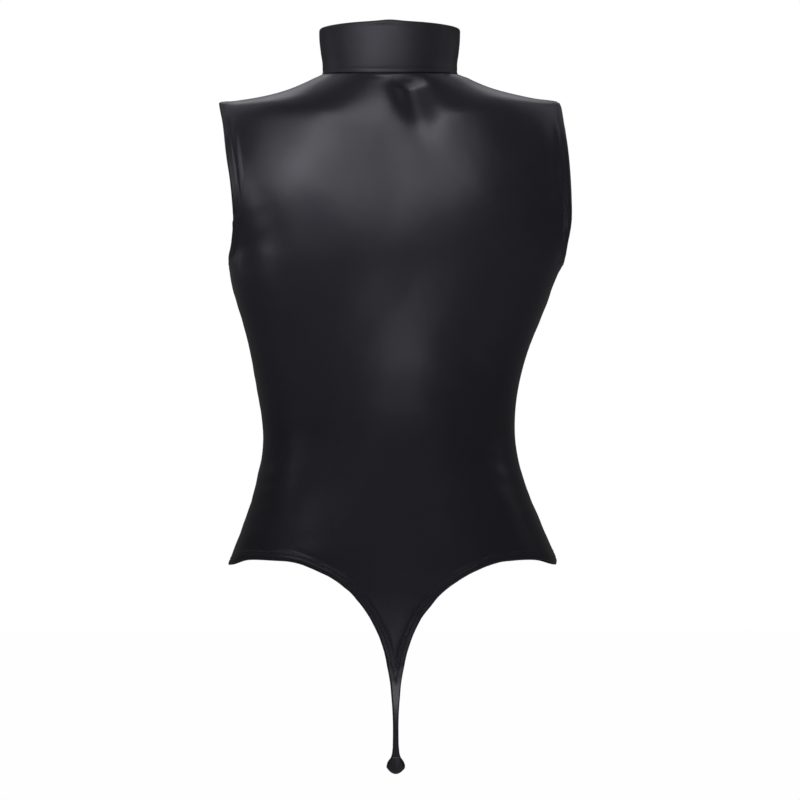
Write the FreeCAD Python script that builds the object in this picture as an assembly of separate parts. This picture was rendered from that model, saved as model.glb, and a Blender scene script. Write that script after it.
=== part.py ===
import FreeCAD, Part
import math
import os

# Sleeveless high-neck leotard with a thong back and a front zip, in its worn shape.
# Millimetres. +Z up, the wearer faces -Y, +X is the wearer's left side.
# Origin: centre of the neck opening at the height of the collar seam.

# ---------------------------------------------------------------- driving dimensions
fabric_t = 1.0            # coated two-way stretch fabric
collar_t = 1.8            # collar is folded double
seam_gap = 0.12           # each panel stops this far from a seam line
zip_gap = 6.5             # half width of the slot that shows the zip
zip_R = 1100.0            # the centre-front line is one circular arc of this radius
zip_yc = 1015.7           # its centre, in the X = 0 plane
zip_zc = -194.7
zip_top_z = 32.0
zip_bottom_z = -385.0
armhole_mid_z = -104.6    # armhole, seen from the side
armhole_half_h = 76.2
armhole_back_q = 0.63     # share of the back depth that the armhole reaches
armhole_front_q = 0.60
hem_w = 9.0               # turned hem at armholes
leg_hem_w = 7.5           # turned hem at leg openings
elastic_w = 6.0
strap_x = -5.6            # the strap lies a little to the wearer's right
view_x, view_z, view_d = -9.7, -315.0, 3300.0   # point that the leg lines are drawn from
view_s = 0.97

# One row of the body per line, from the collar seam down:
# z at left side, right side, back, front | half width left, right | depth back, front | y of sides | squareness back, front
ROWS = [
    (0.0, 0.0, -3.0, -18.0, 65.0, 65.0, 62.0, None, -3.0, 2.10, 2.30),
    (-2.5, -2.0, -8.0, -26.0, 72.0, 73.0, 65.0, None, -1.5, 2.10, 2.30),
    (-10.2, -10.0, -17.0, -37.0, 85.5, 88.0, 69.5, None, 0.0, 2.05, 2.25),
    (-18.2, -17.3, -28.0, -50.0, 104.0, 105.0, 75.0, None, 2.0, 2.05, 2.20),
    (-25.0, -22.0, -40.0, -64.0, 132.0, 130.0, 80.5, None, 4.0, 2.10, 2.20),
    (-28.5, -28.5, -53.0, -78.0, 165.0, 163.5, 85.5, None, 6.0, 2.20, 2.25),
    (-50.0, -50.0, -72.0, -95.0, 160.0, 167.0, 91.0, None, 6.0, 2.35, 2.35),
    (-80.0, -80.0, -95.0, -110.0, 156.0, 170.5, 96.5, None, 6.0, 2.45, 2.45),
    (-110.0, -110.0, -118.0, -126.0, 151.5, 172.5, 100.5, None, 6.0, 2.50, 2.50),
    (-140.0, -140.0, -144.0, -147.0, 149.5, 173.5, 102.5, None, 6.0, 2.50, 2.50),
    (-165.0, -165.0, -166.0, -167.0, 152.0, 170.5, 103.0, None, 6.0, 2.45, 2.45),
    (-180.8, -180.8, -180.8, -180.8, 155.5, 168.0, 102.5, None, 6.0, 2.45, 2.45),
    (-200.0, -200.0, -200.0, -200.0, 153.7, 159.0, 101.0, None, 6.0, 2.40, 2.40),
    (-218.0, -218.0, -218.0, -218.0, 149.0, 153.0, 99.0, None, 6.0, 2.40, 2.40),
    (-240.0, -240.0, -240.0, -240.0, 142.3, 144.2, 96.0, None, 6.0, 2.35, 2.35),
    (-266.5, -266.5, -266.5, -266.5, 135.5, 133.6, 91.5, None, 6.0, 2.30, 2.30),
    (-290.0, -290.0, -290.0, -290.0, 131.2, 126.6, 88.0, None, 6.0, 2.30, 2.30),
    (-315.0, -315.0, -315.0, -315.0, 126.8, 122.0, 85.5, None, 6.0, 2.30, 2.30),
    (-344.0, -344.0, -344.0, -344.0, 121.9, 120.1, 84.5, None, 6.0, 2.30, 2.30),
    (-363.5, -363.5, -363.5, -363.5, 122.9, 122.0, 85.5, None, 6.0, 2.30, 2.30),
    (-385.0, -385.0, -385.0, -385.0, 127.3, 127.2, 86.5, 67.7, 6.0, 2.30, 2.30),
    (-412.0, -412.0, -412.0, -412.0, 133.6, 136.5, 89.5, 66.8, 6.0, 2.30, 2.30),
    (-436.0, -436.0, -436.0, -436.0, 143.0, 148.0, 92.5, 68.0, 6.5, 2.30, 2.30),
    (-459.0, -459.0, -459.0, -459.0, 153.5, 159.5, 95.5, 70.5, 7.0, 2.30, 2.30),
    (-480.0, -480.0, -480.0, -480.0, 159.0, 163.0, 98.0, 72.5, 7.0, 2.30, 2.30),
    (-510.0, -510.0, -510.0, -510.0, 162.0, 166.0, 100.5, 75.0, 7.0, 2.30, 2.30),
    (-545.0, -545.0, -545.0, -545.0, 162.0, 166.0, 100.5, 75.0, 7.0, 2.30, 2.30),
    (-580.0, -580.0, -580.0, -580.0, 160.0, 164.0, 96.0, 70.0, 7.0, 2.30, 2.30),
    (-610.0, -610.0, -610.0, -610.0, 158.0, 160.0, 85.0, 62.0, 7.0, 2.30, 2.30),
]
V_TIP, V_ARM, V_ZIP, V_HIP = 5.0, 11.0, 20.0, 23.0

# Leg line as the eye sees it: height, left edge, right edge, in the view's units.
LEG = [
    (556.6, 225.0, 556.2), (557.2, 236, 546), (557.9, 248, 535), (558.7, 260, 523), (559.7, 271, 514),
    (561, 286, 504), (564, 300, 493), (567, 308, 484.5), (570, 315, 478), (573, 321.5, 471.5),
    (576, 328, 466), (579, 333, 461), (582, 337.5, 456.5), (585, 341.5, 452), (588, 345, 448),
    (591, 349, 444.3), (594, 352, 441), (597, 354.6, 438), (600, 357, 435.4), (606, 362, 430.8),
    (612, 366.2, 425.8), (618, 370, 421.4), (624, 373.2, 418.2), (630, 376.2, 415.2), (636, 379, 412.6),
    (642, 381.2, 410.4), (648, 383.2, 408.4), (654, 384.9, 406.6), (660, 386.2, 405.2),
]
# Straps from there to the crotch: y, z, half width
STRAP_BACK = [
    (98.3, -564.5, 8.1), (96.8, -571.0, 6.8), (93.6, -582.6, 4.9), (88.7, -594.4, 3.9), (81.5, -606.5, 3.0),
    (71.8, -618.8, 2.5), (61.0, -629.5, 2.4), (50.0, -640.0, 2.5), (38.5, -650.3, 2.8), (29.5, -658.0, 3.6),
]
STRAP_FRONT = [
    (-70.5, -577.5, 7.6), (-69.1, -584.5, 6.2), (-66.3, -596.2, 4.3), (-62.2, -607.7, 3.4), (-56.8, -619.1, 2.6),
    (-50.2, -630.4, 2.3), (-42.5, -640.5, 2.3), (-33.5, -650.3, 2.4), (-26.0, -657.3, 3.0), (-21.5, -661.2, 3.6),
]


def pchip(xs, ys):
    n = len(xs)
    h = [xs[i + 1] - xs[i] for i in range(n - 1)]
    s = [(ys[i + 1] - ys[i]) / h[i] for i in range(n - 1)]
    m = [0.0] * n
    m[0], m[-1] = s[0], s[-1]
    for i in range(1, n - 1):
        if s[i - 1] * s[i] > 0:
            w1, w2 = 2 * h[i] + h[i - 1], h[i] + 2 * h[i - 1]
            m[i] = (w1 + w2) / (w1 / s[i - 1] + w2 / s[i])

    def f(x):
        i = 0
        while i < n - 2 and x > xs[i + 1]:
            i += 1
        t = (x - xs[i]) / h[i]
        t2, t3 = t * t, t * t * t
        return ((2 * t3 - 3 * t2 + 1) * ys[i] + (t3 - 2 * t2 + t) * h[i] * m[i]
                + (-2 * t3 + 3 * t2) * ys[i + 1] + (t3 - t2) * h[i] * m[i + 1])
    return f


def arc_y(z):
    return math.sqrt(zip_R ** 2 - (z - zip_zc) ** 2) - zip_yc


VS = [float(i) for i in range(len(ROWS))]
COL = []
for c in range(11):
    vals = [r[c] for r in ROWS]
    if c == 7:
        vals = [arc_y(r[3]) if r[7] is None else r[7] for r in ROWS]
    COL.append(pchip(VS, vals))


def arm_q(v):
    """Share of the depth that the armhole reaches on this row, back and front."""
    if v <= V_TIP or v >= V_ARM:
        return 0.0, 0.0
    t = (COL[0](v) - armhole_mid_z) / armhole_half_h
    c = math.sqrt(max(0.0, 1 - t * t))
    return armhole_back_q * c, armhole_front_q * c


def row(v):
    r = [c(v) for c in COL]
    if v < V_ZIP:
        r[7] = arc_y(r[3])
    qb, qf = arm_q(v)
    if qb > 0:
        k = (1 - qb ** r[9]) ** (1 / r[9])
        r[4] /= k
        r[5] /= k
    return r


CACHE = {}


def crow(v):
    key = round(v, 7)
    if key not in CACHE:
        CACHE[key] = row(v)
    return CACHE[key]


def droop(th, v):
    """The hem dips at the hip, where it turns round the side."""
    if v < 21.2:
        return 0.0
    a = min(1.0, (v - 21.2) / 1.8)
    a = a * a * (3 - 2 * a)
    c = 1 - abs(math.cos(th))
    return -6.0 * a * math.exp(-(c / 0.028) ** 2) - 1.5 * a * math.exp(-(c / 0.12) ** 2)


def P0(th, v):
    zl, zr, zb, zf, xl, xr, yb, yf, ys, nb, nf = crow(v)
    c, s = math.cos(th), math.sin(th)
    w = xl if c > 0 else xr
    if s >= 0:
        k, n, ze = yb - ys, nb, zb
    else:
        k, n, ze = yf + ys, nf, zf
    rr = ((abs(c) / w) ** n + (abs(s) / k) ** n) ** (-1 / n)
    zs = zl if c > 0 else zr
    return (rr * c, ys + rr * s, zs * c * c + ze * s * s)


def P(th, v):
    p = P0(th, v)
    return (p[0], p[1], p[2] + droop(th, v))


def sub(a, b):
    return (a[0] - b[0], a[1] - b[1], a[2] - b[2])


def add(a, b, k=1.0):
    return (a[0] + k * b[0], a[1] + k * b[1], a[2] + k * b[2])


def dot(a, b):
    return a[0] * b[0] + a[1] * b[1] + a[2] * b[2]


def cross(a, b):
    return (a[1] * b[2] - a[2] * b[1], a[2] * b[0] - a[0] * b[2], a[0] * b[1] - a[1] * b[0])


def unit(a):
    m = math.sqrt(dot(a, a))
    return (a[0] / m, a[1] / m, a[2] / m)


def tangents(th, v, f=P):
    e, g = 0.004, 0.01
    v0, v1 = max(0.0, v - g), min(27.999, v + g)
    dth = sub(f(th + e, v), f(th - e, v))
    dv = sub(f(th, v1), f(th, v0))
    return (dth[0] / (2 * e), dth[1] / (2 * e), dth[2] / (2 * e)), tuple(x / (v1 - v0) for x in dv)


def normal(th, v, f=P):
    a, b = tangents(th, v, f)
    return unit(cross(b, a))


def off(th, v, d, f=P):
    """Point d inside the outer surface."""
    return add(f(th, v), normal(th, v, f), -d)


def inwards_ok():
    n = normal(math.pi / 2, 15)
    return n[1] > 0


SIGN = 1.0 if inwards_ok() else -1.0
if SIGN < 0:
    _n = normal

    def normal(th, v, f=P):
        a = _n(th, v, f)
        return (-a[0], -a[1], -a[2])


def view(p):
    k = view_s * (view_d - p[1]) / view_d
    return 400 - (p[0] - view_x) / k, 400 - (p[2] - view_z) / k


LEG_L = pchip([r[0] for r in LEG], [float(r[1]) for r in LEG])
LEG_R = pchip([r[0] for r in LEG], [float(r[2]) for r in LEG])
Z_V = pchip([-ROWS[i][0] for i in range(11, len(ROWS))], [float(i) for i in range(11, len(ROWS))])


def v_of_z(z):
    return Z_V(-z)


def inside_leg(th, v, inset):
    """Positive when a point of the undrooped row is inside the leg line."""
    p = P0(th, v)
    x, h = view(p)
    h = min(max(h, LEG[0][0]), LEG[-1][0])
    return x - LEG_L(h) - inset if math.cos(th) > 0 else LEG_R(h) - inset - x


def leg_edge(v, side, back, inset=0.0):
    mid = math.pi / 2 if back else -math.pi / 2
    end = (0.0 if side > 0 else math.pi) if back else (0.0 if side > 0 else -math.pi)
    lo, hi = 0.0, 1.0
    mid += -0.01 * side if back else 0.01 * side
    if inside_leg(end, v, inset) >= 0:
        return end
    for _ in range(40):
        m = (lo + hi) / 2
        if inside_leg(mid + (end - mid) * m, v, inset) >= 0:
            lo = m
        else:
            hi = m
    return mid + (end - mid) * lo


def v_seen_at(h, back):
    """Row whose centre the eye sees at height h."""
    th = math.pi / 2 if back else -math.pi / 2
    lo, hi = 20.0, 28.0
    for _ in range(50):
        m = (lo + hi) / 2
        if view(P0(th, m))[1] < h:
            lo = m
        else:
            hi = m
    return lo


# ---------------------------------------------------------------- solids from rows of points
def curve(pts):
    vecs = [FreeCAD.Vector(*p) for p in pts]
    if len(vecs) == 2:
        return Part.makeLine(vecs[0], vecs[1])
    s = Part.BSplineCurve()
    s.interpolate(vecs)
    return s.toShape()


def line(a, b):
    return Part.makeLine(FreeCAD.Vector(*a), FreeCAD.Vector(*b))


def solid_of(faces):
    comp = Part.Compound(faces)
    comp.sewShape(1e-4)
    solid = Part.makeSolid(comp.Shells[0])
    if solid.Volume < 0:
        solid.reverse()
    return solid


def skins(outer, inner, closed=False):
    """Ruled faces on both sides of a layer, with the curves of each row."""
    eo = [curve(r) for r in outer]
    ei = [curve(r) for r in inner]
    faces = []
    n = len(outer)
    for i in (range(n) if closed else range(n - 1)):
        j = (i + 1) % n
        faces.append(Part.makeRuledSurface(eo[i], eo[j], 1))
        faces.append(Part.makeRuledSurface(ei[i], ei[j], 1))
    return faces, eo, ei


def rim(outer, inner, k, i0, i1, closed=False):
    """Faces across the thickness, along end k of rows i0 to i1."""
    n = len(outer)
    out = []
    for i in range(i0, n if closed else i1):
        j = (i + 1) % n
        out.append(Part.makeRuledSurface(line(outer[i][k], outer[j][k]), line(inner[i][k], inner[j][k]), 1))
    return out


def thick(outer, inner, closed=False):
    """Closed solid between two grids of points, each a list of rows."""
    faces, eo, ei = skins(outer, inner, closed)
    last = len(outer) - 1
    for k in (0, -1):
        faces += rim(outer, inner, k, 0, last, closed)
    if not closed:
        for k in (0, -1):
            faces.append(Part.makeRuledSurface(eo[k], ei[k], 1))
    return solid_of(faces)


def layer(rows, d0, d1, f=P):
    """rows: lists of (theta, v); the points at depths d0 and d1."""
    outer = [[off(t, v, d0, f) if d0 else f(t, v) for t, v in r] for r in rows]
    inner = [[off(t, v, d1, f) for t, v in r] for r in rows]
    return outer, inner


def angle_gap(th, v, gap):
    """Small turn that moves a point on this row by gap millimetres."""
    a, _ = tangents(th, v)
    return gap / math.sqrt(dot(a, a))


def edge_theta(v, side, back):
    """theta of the panel's free or seam edge on this row, for the left (+1) or right (-1) side."""
    zl, zr, zb, zf, xl, xr, yb, yf, ys, nb, nf = crow(v)
    qb, qf = arm_q(v)
    w = xl if side > 0 else xr
    if back:
        if qb <= 0:
            th = 0.0
        else:
            th = math.atan2(qb * (yb - ys), w * (1 - qb ** nb) ** (1 / nb))
    else:
        if qf <= 0:
            th = 0.0
        else:
            th = -math.atan2(qf * (yf + ys), w * (1 - qf ** nf) ** (1 / nf))
    if side < 0:
        th = math.pi - th if back else -math.pi - th
    return th


def cos_steps(a, b, n):
    return [a + (b - a) * (1 - math.cos(math.pi * i / n)) / 2 for i in range(n + 1)]


def v_of_zl(z):
    lo, hi = 0.0, 12.0
    for _ in range(50):
        m = (lo + hi) / 2
        if COL[0](m) > z:
            lo = m
        else:
            hi = m
    return (lo + hi) / 2


# rows shared by all panels
neck_vs = [0.02, 0.5, 1.0, 1.5, 2.0, 2.5, 3.0, 3.5, 4.0, 4.5]
arm_vs = [v_of_zl(z) for z in cos_steps(ROWS[5][0], ROWS[11][0], 16)]
arm_vs[0], arm_vs[-1] = V_TIP, V_ARM
V_TOP = 18.0                                            # rows below this fan out to the leg line


def v_side_end():
    """Row where the side seam meets the leg line."""
    lo, hi = 22.0, 24.5
    for _ in range(50):
        m = (lo + hi) / 2
        if view(P0(0.0, m))[1] < LEG[0][0]:
            lo = m
        else:
            hi = m
    return lo


V_SIDE = v_side_end()
side_vs = [V_ARM + (V_TOP - V_ARM) * i / 12.0 for i in range(1, 13)]
UPPER = neck_vs + arm_vs + side_vs
INSET = {True: 0.0, False: 1.2}


def v_leg(th, back):
    """Row at which the leg line crosses this theta."""
    lo, hi = 22.0, V_END[back]
    for _ in range(44):
        m = (lo + hi) / 2
        if inside_leg(th, m, INSET[back]) >= 0:
            lo = m
        else:
            hi = m
    return lo


V_END = {True: v_seen_at(LEG[-1][0], True), False: v_seen_at(LEG[-1][0], False)}


def end_theta(side, back):
    """Theta of the strap's edge where the body of the panel ends."""
    v = V_END[back] - 0.0005
    mid = math.pi / 2 if back else -math.pi / 2
    end = (0.0 if side > 0 else math.pi) if back else (0.0 if side > 0 else -math.pi)
    p, lo, hi = None, 0.0, 1.0
    x_c = strap_x
    mid = theta_of_x(x_c, v, back)
    for _ in range(44):
        m = (lo + hi) / 2
        if inside_leg(mid + (end - mid) * m, v, INSET[back]) >= 0:
            lo = m
        else:
            hi = m
    return mid + (end - mid) * lo


def theta_of_x(x, v, back):
    zl, zr, zb, zf, xl, xr, yb, yf, ys, nb, nf = crow(v)
    w = xl if x > 0 else xr
    k, n = (yb - ys, nb) if back else (yf + ys, nf)
    q = (1 - (abs(x) / w) ** n) ** (1 / n)
    return math.atan2(k * q if back else -k * q, x)


M = 16                                                  # points across each wing


def leg_points(side, back):
    """(theta, v) down the leg line from the side seam to the strap."""
    start = (0.0 if side > 0 else math.pi) if back else (0.0 if side > 0 else -math.pi)
    end = end_theta(side, back)
    out = [(start, V_SIDE)]
    for j in range(1, M - 1):
        t = j / (M - 1)
        t = 0.5 * t + 0.5 * (1 - (1 - t) ** 2.6)
        th = start + (end - start) * t
        out.append((th, v_leg(th, back)))
    out.append((end, V_END[back]))
    return out


def wing_rows(side, back, x_in):
    """Rows of one wing, from the collar seam to the leg line. x_in(v) is the wing's inner boundary."""
    rows = []
    for v in UPPER:
        e = edge_theta(v, side, back)
        if not V_TIP < v < V_ARM:
            g = angle_gap(e, v, seam_gap) * side
            e += g if back else -g
        i = theta_of_x(x_in(v), v, back)
        rows.append([(e + (i - e) * j / (M - 1), v) for j in range(M)])
    top, foot = rows[-1], leg_points(side, back)
    g = angle_gap(foot[0][0], V_SIDE, seam_gap) * side
    foot = [(foot[0][0] + (g if back else -g), foot[0][1])] + foot[1:]
    n = 12
    for k in range(1, n + 1):
        s = k / n
        row_k = []
        for j in range(M):
            v = top[j][1] + (foot[j][1] - top[j][1]) * s
            th = top[j][0] + (foot[j][0] - top[j][0]) * s
            if j == M - 1 and k < n:
                th = theta_of_x(x_in(v), v, back)
            row_k.append((th, v))
        rows.append(row_k)
    return rows


def smooth(t):
    t = min(1.0, max(0.0, t))
    return t * t * (3 - 2 * t)


def x_centre(v, back):
    return strap_x * smooth((v - 17.0) / (V_END[back] - 18.5))


def x_bound(side, back):
    """Inner boundary of a wing: straight down the body, then in to the strap's edge."""
    end = P(end_theta(side, back), V_END[back])[0]

    def f(v):
        t = smooth((v - V_TOP) / (V_END[back] - V_TOP))
        return 20.0 * side * (1 - t) + end * t
    return f


def ribbon(stations, t0, t1, n=7, grow=0.0):
    """Rows of a strap; stations are (y, z, half width, cup), t0 and t1 depths under its outer face."""
    outer, inner = [], []
    for i, st in enumerate(stations):
        y, z, h = st[0], st[1], st[2] + grow
        cup = st[3] if len(st) > 3 else 0.0
        a, b = stations[max(0, i - 1)], stations[min(len(stations) - 1, i + 1)]
        ty, tz = b[0] - a[0], b[1] - a[1]
        m = math.hypot(ty, tz)
        ny, nz = tz / m, -ty / m
        o, q = [], []
        for k in range(n):
            s = 1 - 2 * k / (n - 1)
            d = cup * s * s
            x = strap_x + s * h
            e0, e1 = t0 + d, t1 + d
            o.append((x, y + ny * e0, z + nz * e0))
            q.append((x, y + ny * e1, z + nz * e1))
        outer.append(o)
        inner.append(q)
    return outer, inner


def export(shape, name):
    shape.exportStep("parts/" + name + ".step")
    print(name, "valid" if shape.isValid() else "NOT VALID", round(shape.Volume, 1), len(shape.Solids), len(shape.Faces))


# ---------------------------------------------------------------- back panel with its strap
def back_panel():
    faces = []
    d = fabric_t
    wings = {}
    for side in (1, -1):
        o, i = layer(wing_rows(side, True, x_bound(side, True)), 0.0, d)
        f, eo, ei = skins(o, i)
        faces += f + rim(o, i, 0, 0, len(o) - 1)
        faces.append(Part.makeRuledSurface(eo[0], ei[0], 1))
        faces.append(Part.makeRuledSurface(eo[-1], ei[-1], 1))
        wings[side] = (o, i)
    rows_o, rows_i = [], []
    n = len(wings[1][0])
    vs = [r[M - 1][1] for r in wing_rows(1, True, x_bound(1, True))]
    for k in range(n):
        tl = theta_of_x(wings[1][0][k][-1][0], vs[k], True)
        tr = theta_of_x(wings[-1][0][k][-1][0], vs[k], True)
        ths = [tl + (tr - tl) * q / 6 for q in range(7)]
        o = [P(t, vs[k]) for t in ths]
        i = [off(t, vs[k], d) for t in ths]
        o[0], o[-1] = wings[1][0][k][-1], wings[-1][0][k][-1]
        i[0], i[-1] = wings[1][1][k][-1], wings[-1][1][k][-1]
        rows_o.append(o)
        rows_i.append(i)
    so, si = ribbon(STRAP_BACK, 0.0, d)
    rows_o += so
    rows_i += si
    f, eo, ei = skins(rows_o, rows_i)
    faces += f
    for k in (0, -1):
        faces += rim(rows_o, rows_i, k, n - 1, len(rows_o) - 1)
        faces.append(Part.makeRuledSurface(eo[k], ei[k], 1))
    return solid_of(faces)


# ---------------------------------------------------------------- front panels, either side of the zip
def front_edge_x(side, v):
    """Centre edge of a front panel: open beside the zip, closed to a seam below it."""
    t = smooth((v - V_ZIP) / 0.35)
    return side * (zip_gap * (1 - t) + seam_gap * t) + x_centre(v, False)


def front_panel(side):
    d = fabric_t
    rows = wing_rows(side, False, x_bound(side, False))
    o, i = layer(rows, 0.0, d)
    f, eo, ei = skins(o, i)
    faces = f + rim(o, i, 0, 0, len(o) - 1)
    for k in (0, -1):
        faces.append(Part.makeRuledSurface(eo[k], ei[k], 1))
    co, ci = [], []
    for k, r in enumerate(rows):
        v = r[M - 1][1]
        t0 = r[M - 1][0]
        t1 = theta_of_x(front_edge_x(side, v), v, False)
        ths = [t0 + (t1 - t0) * q / 3 for q in range(4)]
        a = [P(t, v) for t in ths]
        b = [off(t, v, d) for t in ths]
        a[0], b[0] = o[k][-1], i[k][-1]
        co.append(a)
        ci.append(b)
    f, eo, ei = skins(co, ci)
    faces += f + rim(co, ci, -1, 0, len(co) - 1)
    for k in (0, -1):
        faces.append(Part.makeRuledSurface(eo[k], ei[k], 1))
    return solid_of(faces)


# ---------------------------------------------------------------- collar
COLLAR = [  # share of the height, z left, z right, z back, z front, half width left, right, depth back
    (0.0, 0.0, 0.0, -3.0, -18.0, 65.0, 65.0, 62.0),
    (0.2, 9.0, 9.0, 7.0, -8.0, 65.0, 64.7, 61.2),
    (0.5, 22.0, 22.0, 21.5, 7.0, 66.6, 66.4, 60.0),
    (0.8, 35.5, 35.5, 36.5, 22.5, 68.0, 67.6, 58.6),
    (1.0, 44.0, 44.0, 46.0, 32.0, 68.3, 67.7, 57.6),
]
CC = [pchip([r[0] for r in COLLAR], [r[c] for r in COLLAR]) for c in range(1, 8)]


def C(th, w):
    zl, zr, zb, zf, xl, xr, yb = [c(w) for c in CC]
    yf = arc_y(zf)
    ys = -3.0
    c, s = math.cos(th), math.sin(th)
    hw = xl if c > 0 else xr
    k, n, ze = (yb - ys, 2.1, zb) if s >= 0 else (yf + ys, 2.3, zf)
    rr = ((abs(c) / hw) ** n + (abs(s) / k) ** n) ** (-1 / n)
    zs = zl if c > 0 else zr
    return (rr * c, ys + rr * s, zs * c * c + ze * s * s)


def collar_normal(th, w):
    e, g = 0.004, 0.01
    a, b = sub(C(th + e, w), C(th - e, w)), sub(C(th, min(1, w + g)), C(th, max(0, w - g)))
    n = unit(cross(a, b))
    p = C(th, w)
    return n if n[0] * p[0] + n[1] * p[1] > 0 else (-n[0], -n[1], -n[2])


def c_off(th, w, d):
    return add(C(th, w), collar_normal(th, w), -d)


def collar_theta(x, w):
    zl, zr, zb, zf, xl, xr, yb = [c(w) for c in CC]
    hw = xl if x > 0 else xr
    k = arc_y(zf) - 3.0
    return math.atan2(-k * (1 - (abs(x) / hw) ** 2.3) ** (1 / 2.3), x)


def collar():
    outer, inner = [], []
    for w in (0.012, 0.12, 0.25, 0.4, 0.55, 0.7, 0.85, 1.0):
        a = collar_theta(zip_gap, w)
        b = collar_theta(-zip_gap, w) + 2 * math.pi
        ths = [a + (b - a) * q / 48 for q in range(49)]
        outer.append([c_off(t, w, -0.5) for t in ths])
        inner.append([c_off(t, w, 1.0) for t in ths])
    return thick(outer, inner)


# ---------------------------------------------------------------- crotch gusset and the front strap
# crotch and front strap, from the end of the back strap round to the front
GUSSET = [
    (29.0, -658.5, 3.7, 0.1), (26.2, -661.6, 4.2, 0.4), (22.6, -665.6, 5.2, 1.1), (18.5, -669.6, 6.6, 2.3),
    (13.0, -673.8, 8.0, 4.2), (7.0, -676.6, 8.8, 5.8), (1.0, -677.2, 9.0, 6.2), (-5.0, -675.2, 9.0, 5.2),
    (-10.5, -671.6, 8.5, 3.8), (-14.8, -668.0, 7.0, 2.2), (-18.0, -664.9, 5.0, 0.9),
] + [(y, z, h, 0.0) for y, z, h in STRAP_FRONT[::-1]] + [(-71.3, -573.2, 8.4, 0.0)]


def gusset():
    o, i = ribbon(GUSSET, 0.0, fabric_t)
    return thick(o, i)


def gusset_lining():
    o, i = ribbon(GUSSET[2:14], fabric_t + 0.12, fabric_t + 0.62, grow=-1.0)
    return thick(o, i)


# ---------------------------------------------------------------- turned hems
def walk(th, v, direction, dist, steps=3):
    """Move along the surface from (th, v)."""
    for _ in range(steps):
        a, b = tangents(th, v)
        aa, ab, bb = dot(a, a), dot(a, b), dot(b, b)
        da, db = dot(a, direction) * dist / steps, dot(b, direction) * dist / steps
        det = aa * bb - ab * ab
        th += (da * bb - db * ab) / det
        v += (aa * db - ab * da) / det
    return th, v


def hem_rows(edge, width, d0, d1, closed, margin=0.25):
    """edge: (theta, v) in order; the hem lies on the side that 'into' points to."""
    pts = [P(t, v) for t, v in edge]
    n = len(edge)
    outer, inner = [], []
    for k, (t, v) in enumerate(edge):
        a = pts[(k - 1) % n] if closed or k > 0 else pts[k]
        b = pts[(k + 1) % n] if closed or k < n - 1 else pts[k]
        tan = unit(sub(b, a))
        inw = unit(cross(normal(t, v), tan))
        w = width[k] if isinstance(width, list) else width
        o, i = [], []
        for q in range(4):
            t2, v2 = walk(t, v, inw, margin + (w - margin) * q / 3)
            o.append(off(t2, v2, d0))
            i.append(off(t2, v2, d1))
        outer.append(o)
        inner.append(i)
    return outer, inner


def armhole_edge(side):
    """Loop from the shoulder tip down the back edge, under the arm and up the front edge."""
    zs = cos_steps(ROWS[5][0], ROWS[11][0], 18)
    back = [(edge_theta(v, side, True), v) for v in [v_of_zl(z) for z in zs]]
    front = [(edge_theta(v, side, False), v) for v in [v_of_zl(z) for z in zs[1:-1]]][::-1]
    loop = []
    for t, v in back + front:
        if side < 0 and t < 0:
            t += 2 * math.pi
        loop.append((t, min(max(v, 5.0), 11.0)))
    return loop


def armhole_hem(side):
    loop = armhole_edge(side)
    if side > 0:
        loop = loop[::-1]
    o, i = hem_rows(loop, hem_w, fabric_t + 0.1, fabric_t + 0.8, True)
    return thick(o, i, True)


def leg_hem(side):
    """From the front strap up to the side seam, then down the back leg line and the back strap."""
    front = leg_points(side, False)[::-1]
    back = leg_points(side, True)
    if side < 0:
        front = [(t + 2 * math.pi, v) for t, v in front]
    edge = front + back[1:]
    width = []
    for t, v in edge:
        back_side = math.sin(t) > 0
        half = abs(P(t, v)[0] - x_centre(v, back_side))
        width.append(min(leg_hem_w, half - 0.35))
    if side < 0:
        edge, width = edge[::-1], width[::-1]
    o, i = hem_rows(edge, width, fabric_t + 0.8, fabric_t + 1.35, False)
    if side < 0:
        o, i = o[::-1], i[::-1]
    # down the back strap
    so, si = [], []
    for st in STRAP_BACK:
        y, z, h = st
        wd = min(leg_hem_w, h - 0.35)
        k = STRAP_BACK.index(st)
        a, b = STRAP_BACK[max(0, k - 1)], STRAP_BACK[min(len(STRAP_BACK) - 1, k + 1)]
        m = math.hypot(b[0] - a[0], b[1] - a[1])
        ny, nz = (b[1] - a[1]) / m, -(b[0] - a[0]) / m
        oo, ii = [], []
        for q in range(4):
            x = strap_x + side * (h - 0.2 - (wd - 0.2) * q / 3)
            oo.append((x, y + ny * (fabric_t + 0.8), z + nz * (fabric_t + 0.8)))
            ii.append((x, y + ny * (fabric_t + 1.35), z + nz * (fabric_t + 1.35)))
        so.append(oo)
        si.append(ii)
    return thick(o + so, i + si)


# ---------------------------------------------------------------- seam tapes and labels
def tape_patch(rows, d0, d1, f=P):
    o, i = layer(rows, d0, d1, f)
    return thick(o, i)


def side_tape(side, v0, v1, n):
    rows = []
    for k in range(n):
        v = v0 + (v1 - v0) * k / (n - 1)
        c = 0.0 if side > 0 else math.pi
        g = angle_gap(c, v, 4.0)
        rows.append([(c - g + 2 * g * q / 4, v) for q in range(5)])
    return tape_patch(rows, fabric_t + 0.35, fabric_t + 0.83)


def neck_tape():
    rows = []
    for v in (0.12, 0.45, 0.8):
        a = theta_of_x(17.0, v, False)
        b = theta_of_x(-17.0, v, False) + 2 * math.pi
        rows.append([(a + (b - a) * q / 40, v) for q in range(41)])
    return tape_patch(rows, fabric_t + 0.12, fabric_t + 0.6)


def centre_tape():
    rows = []
    v1 = v_seen_at(628, False)
    for k in range(14):
        v = 20.7 + (v1 - 20.7) * k / 13
        rows.append([(theta_of_x(x_centre(v, False) + x, v, False), v) for x in (3.2, 1.6, 0, -1.6, -3.2)])
    return tape_patch(rows, fabric_t + 0.4, fabric_t + 0.88)


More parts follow.
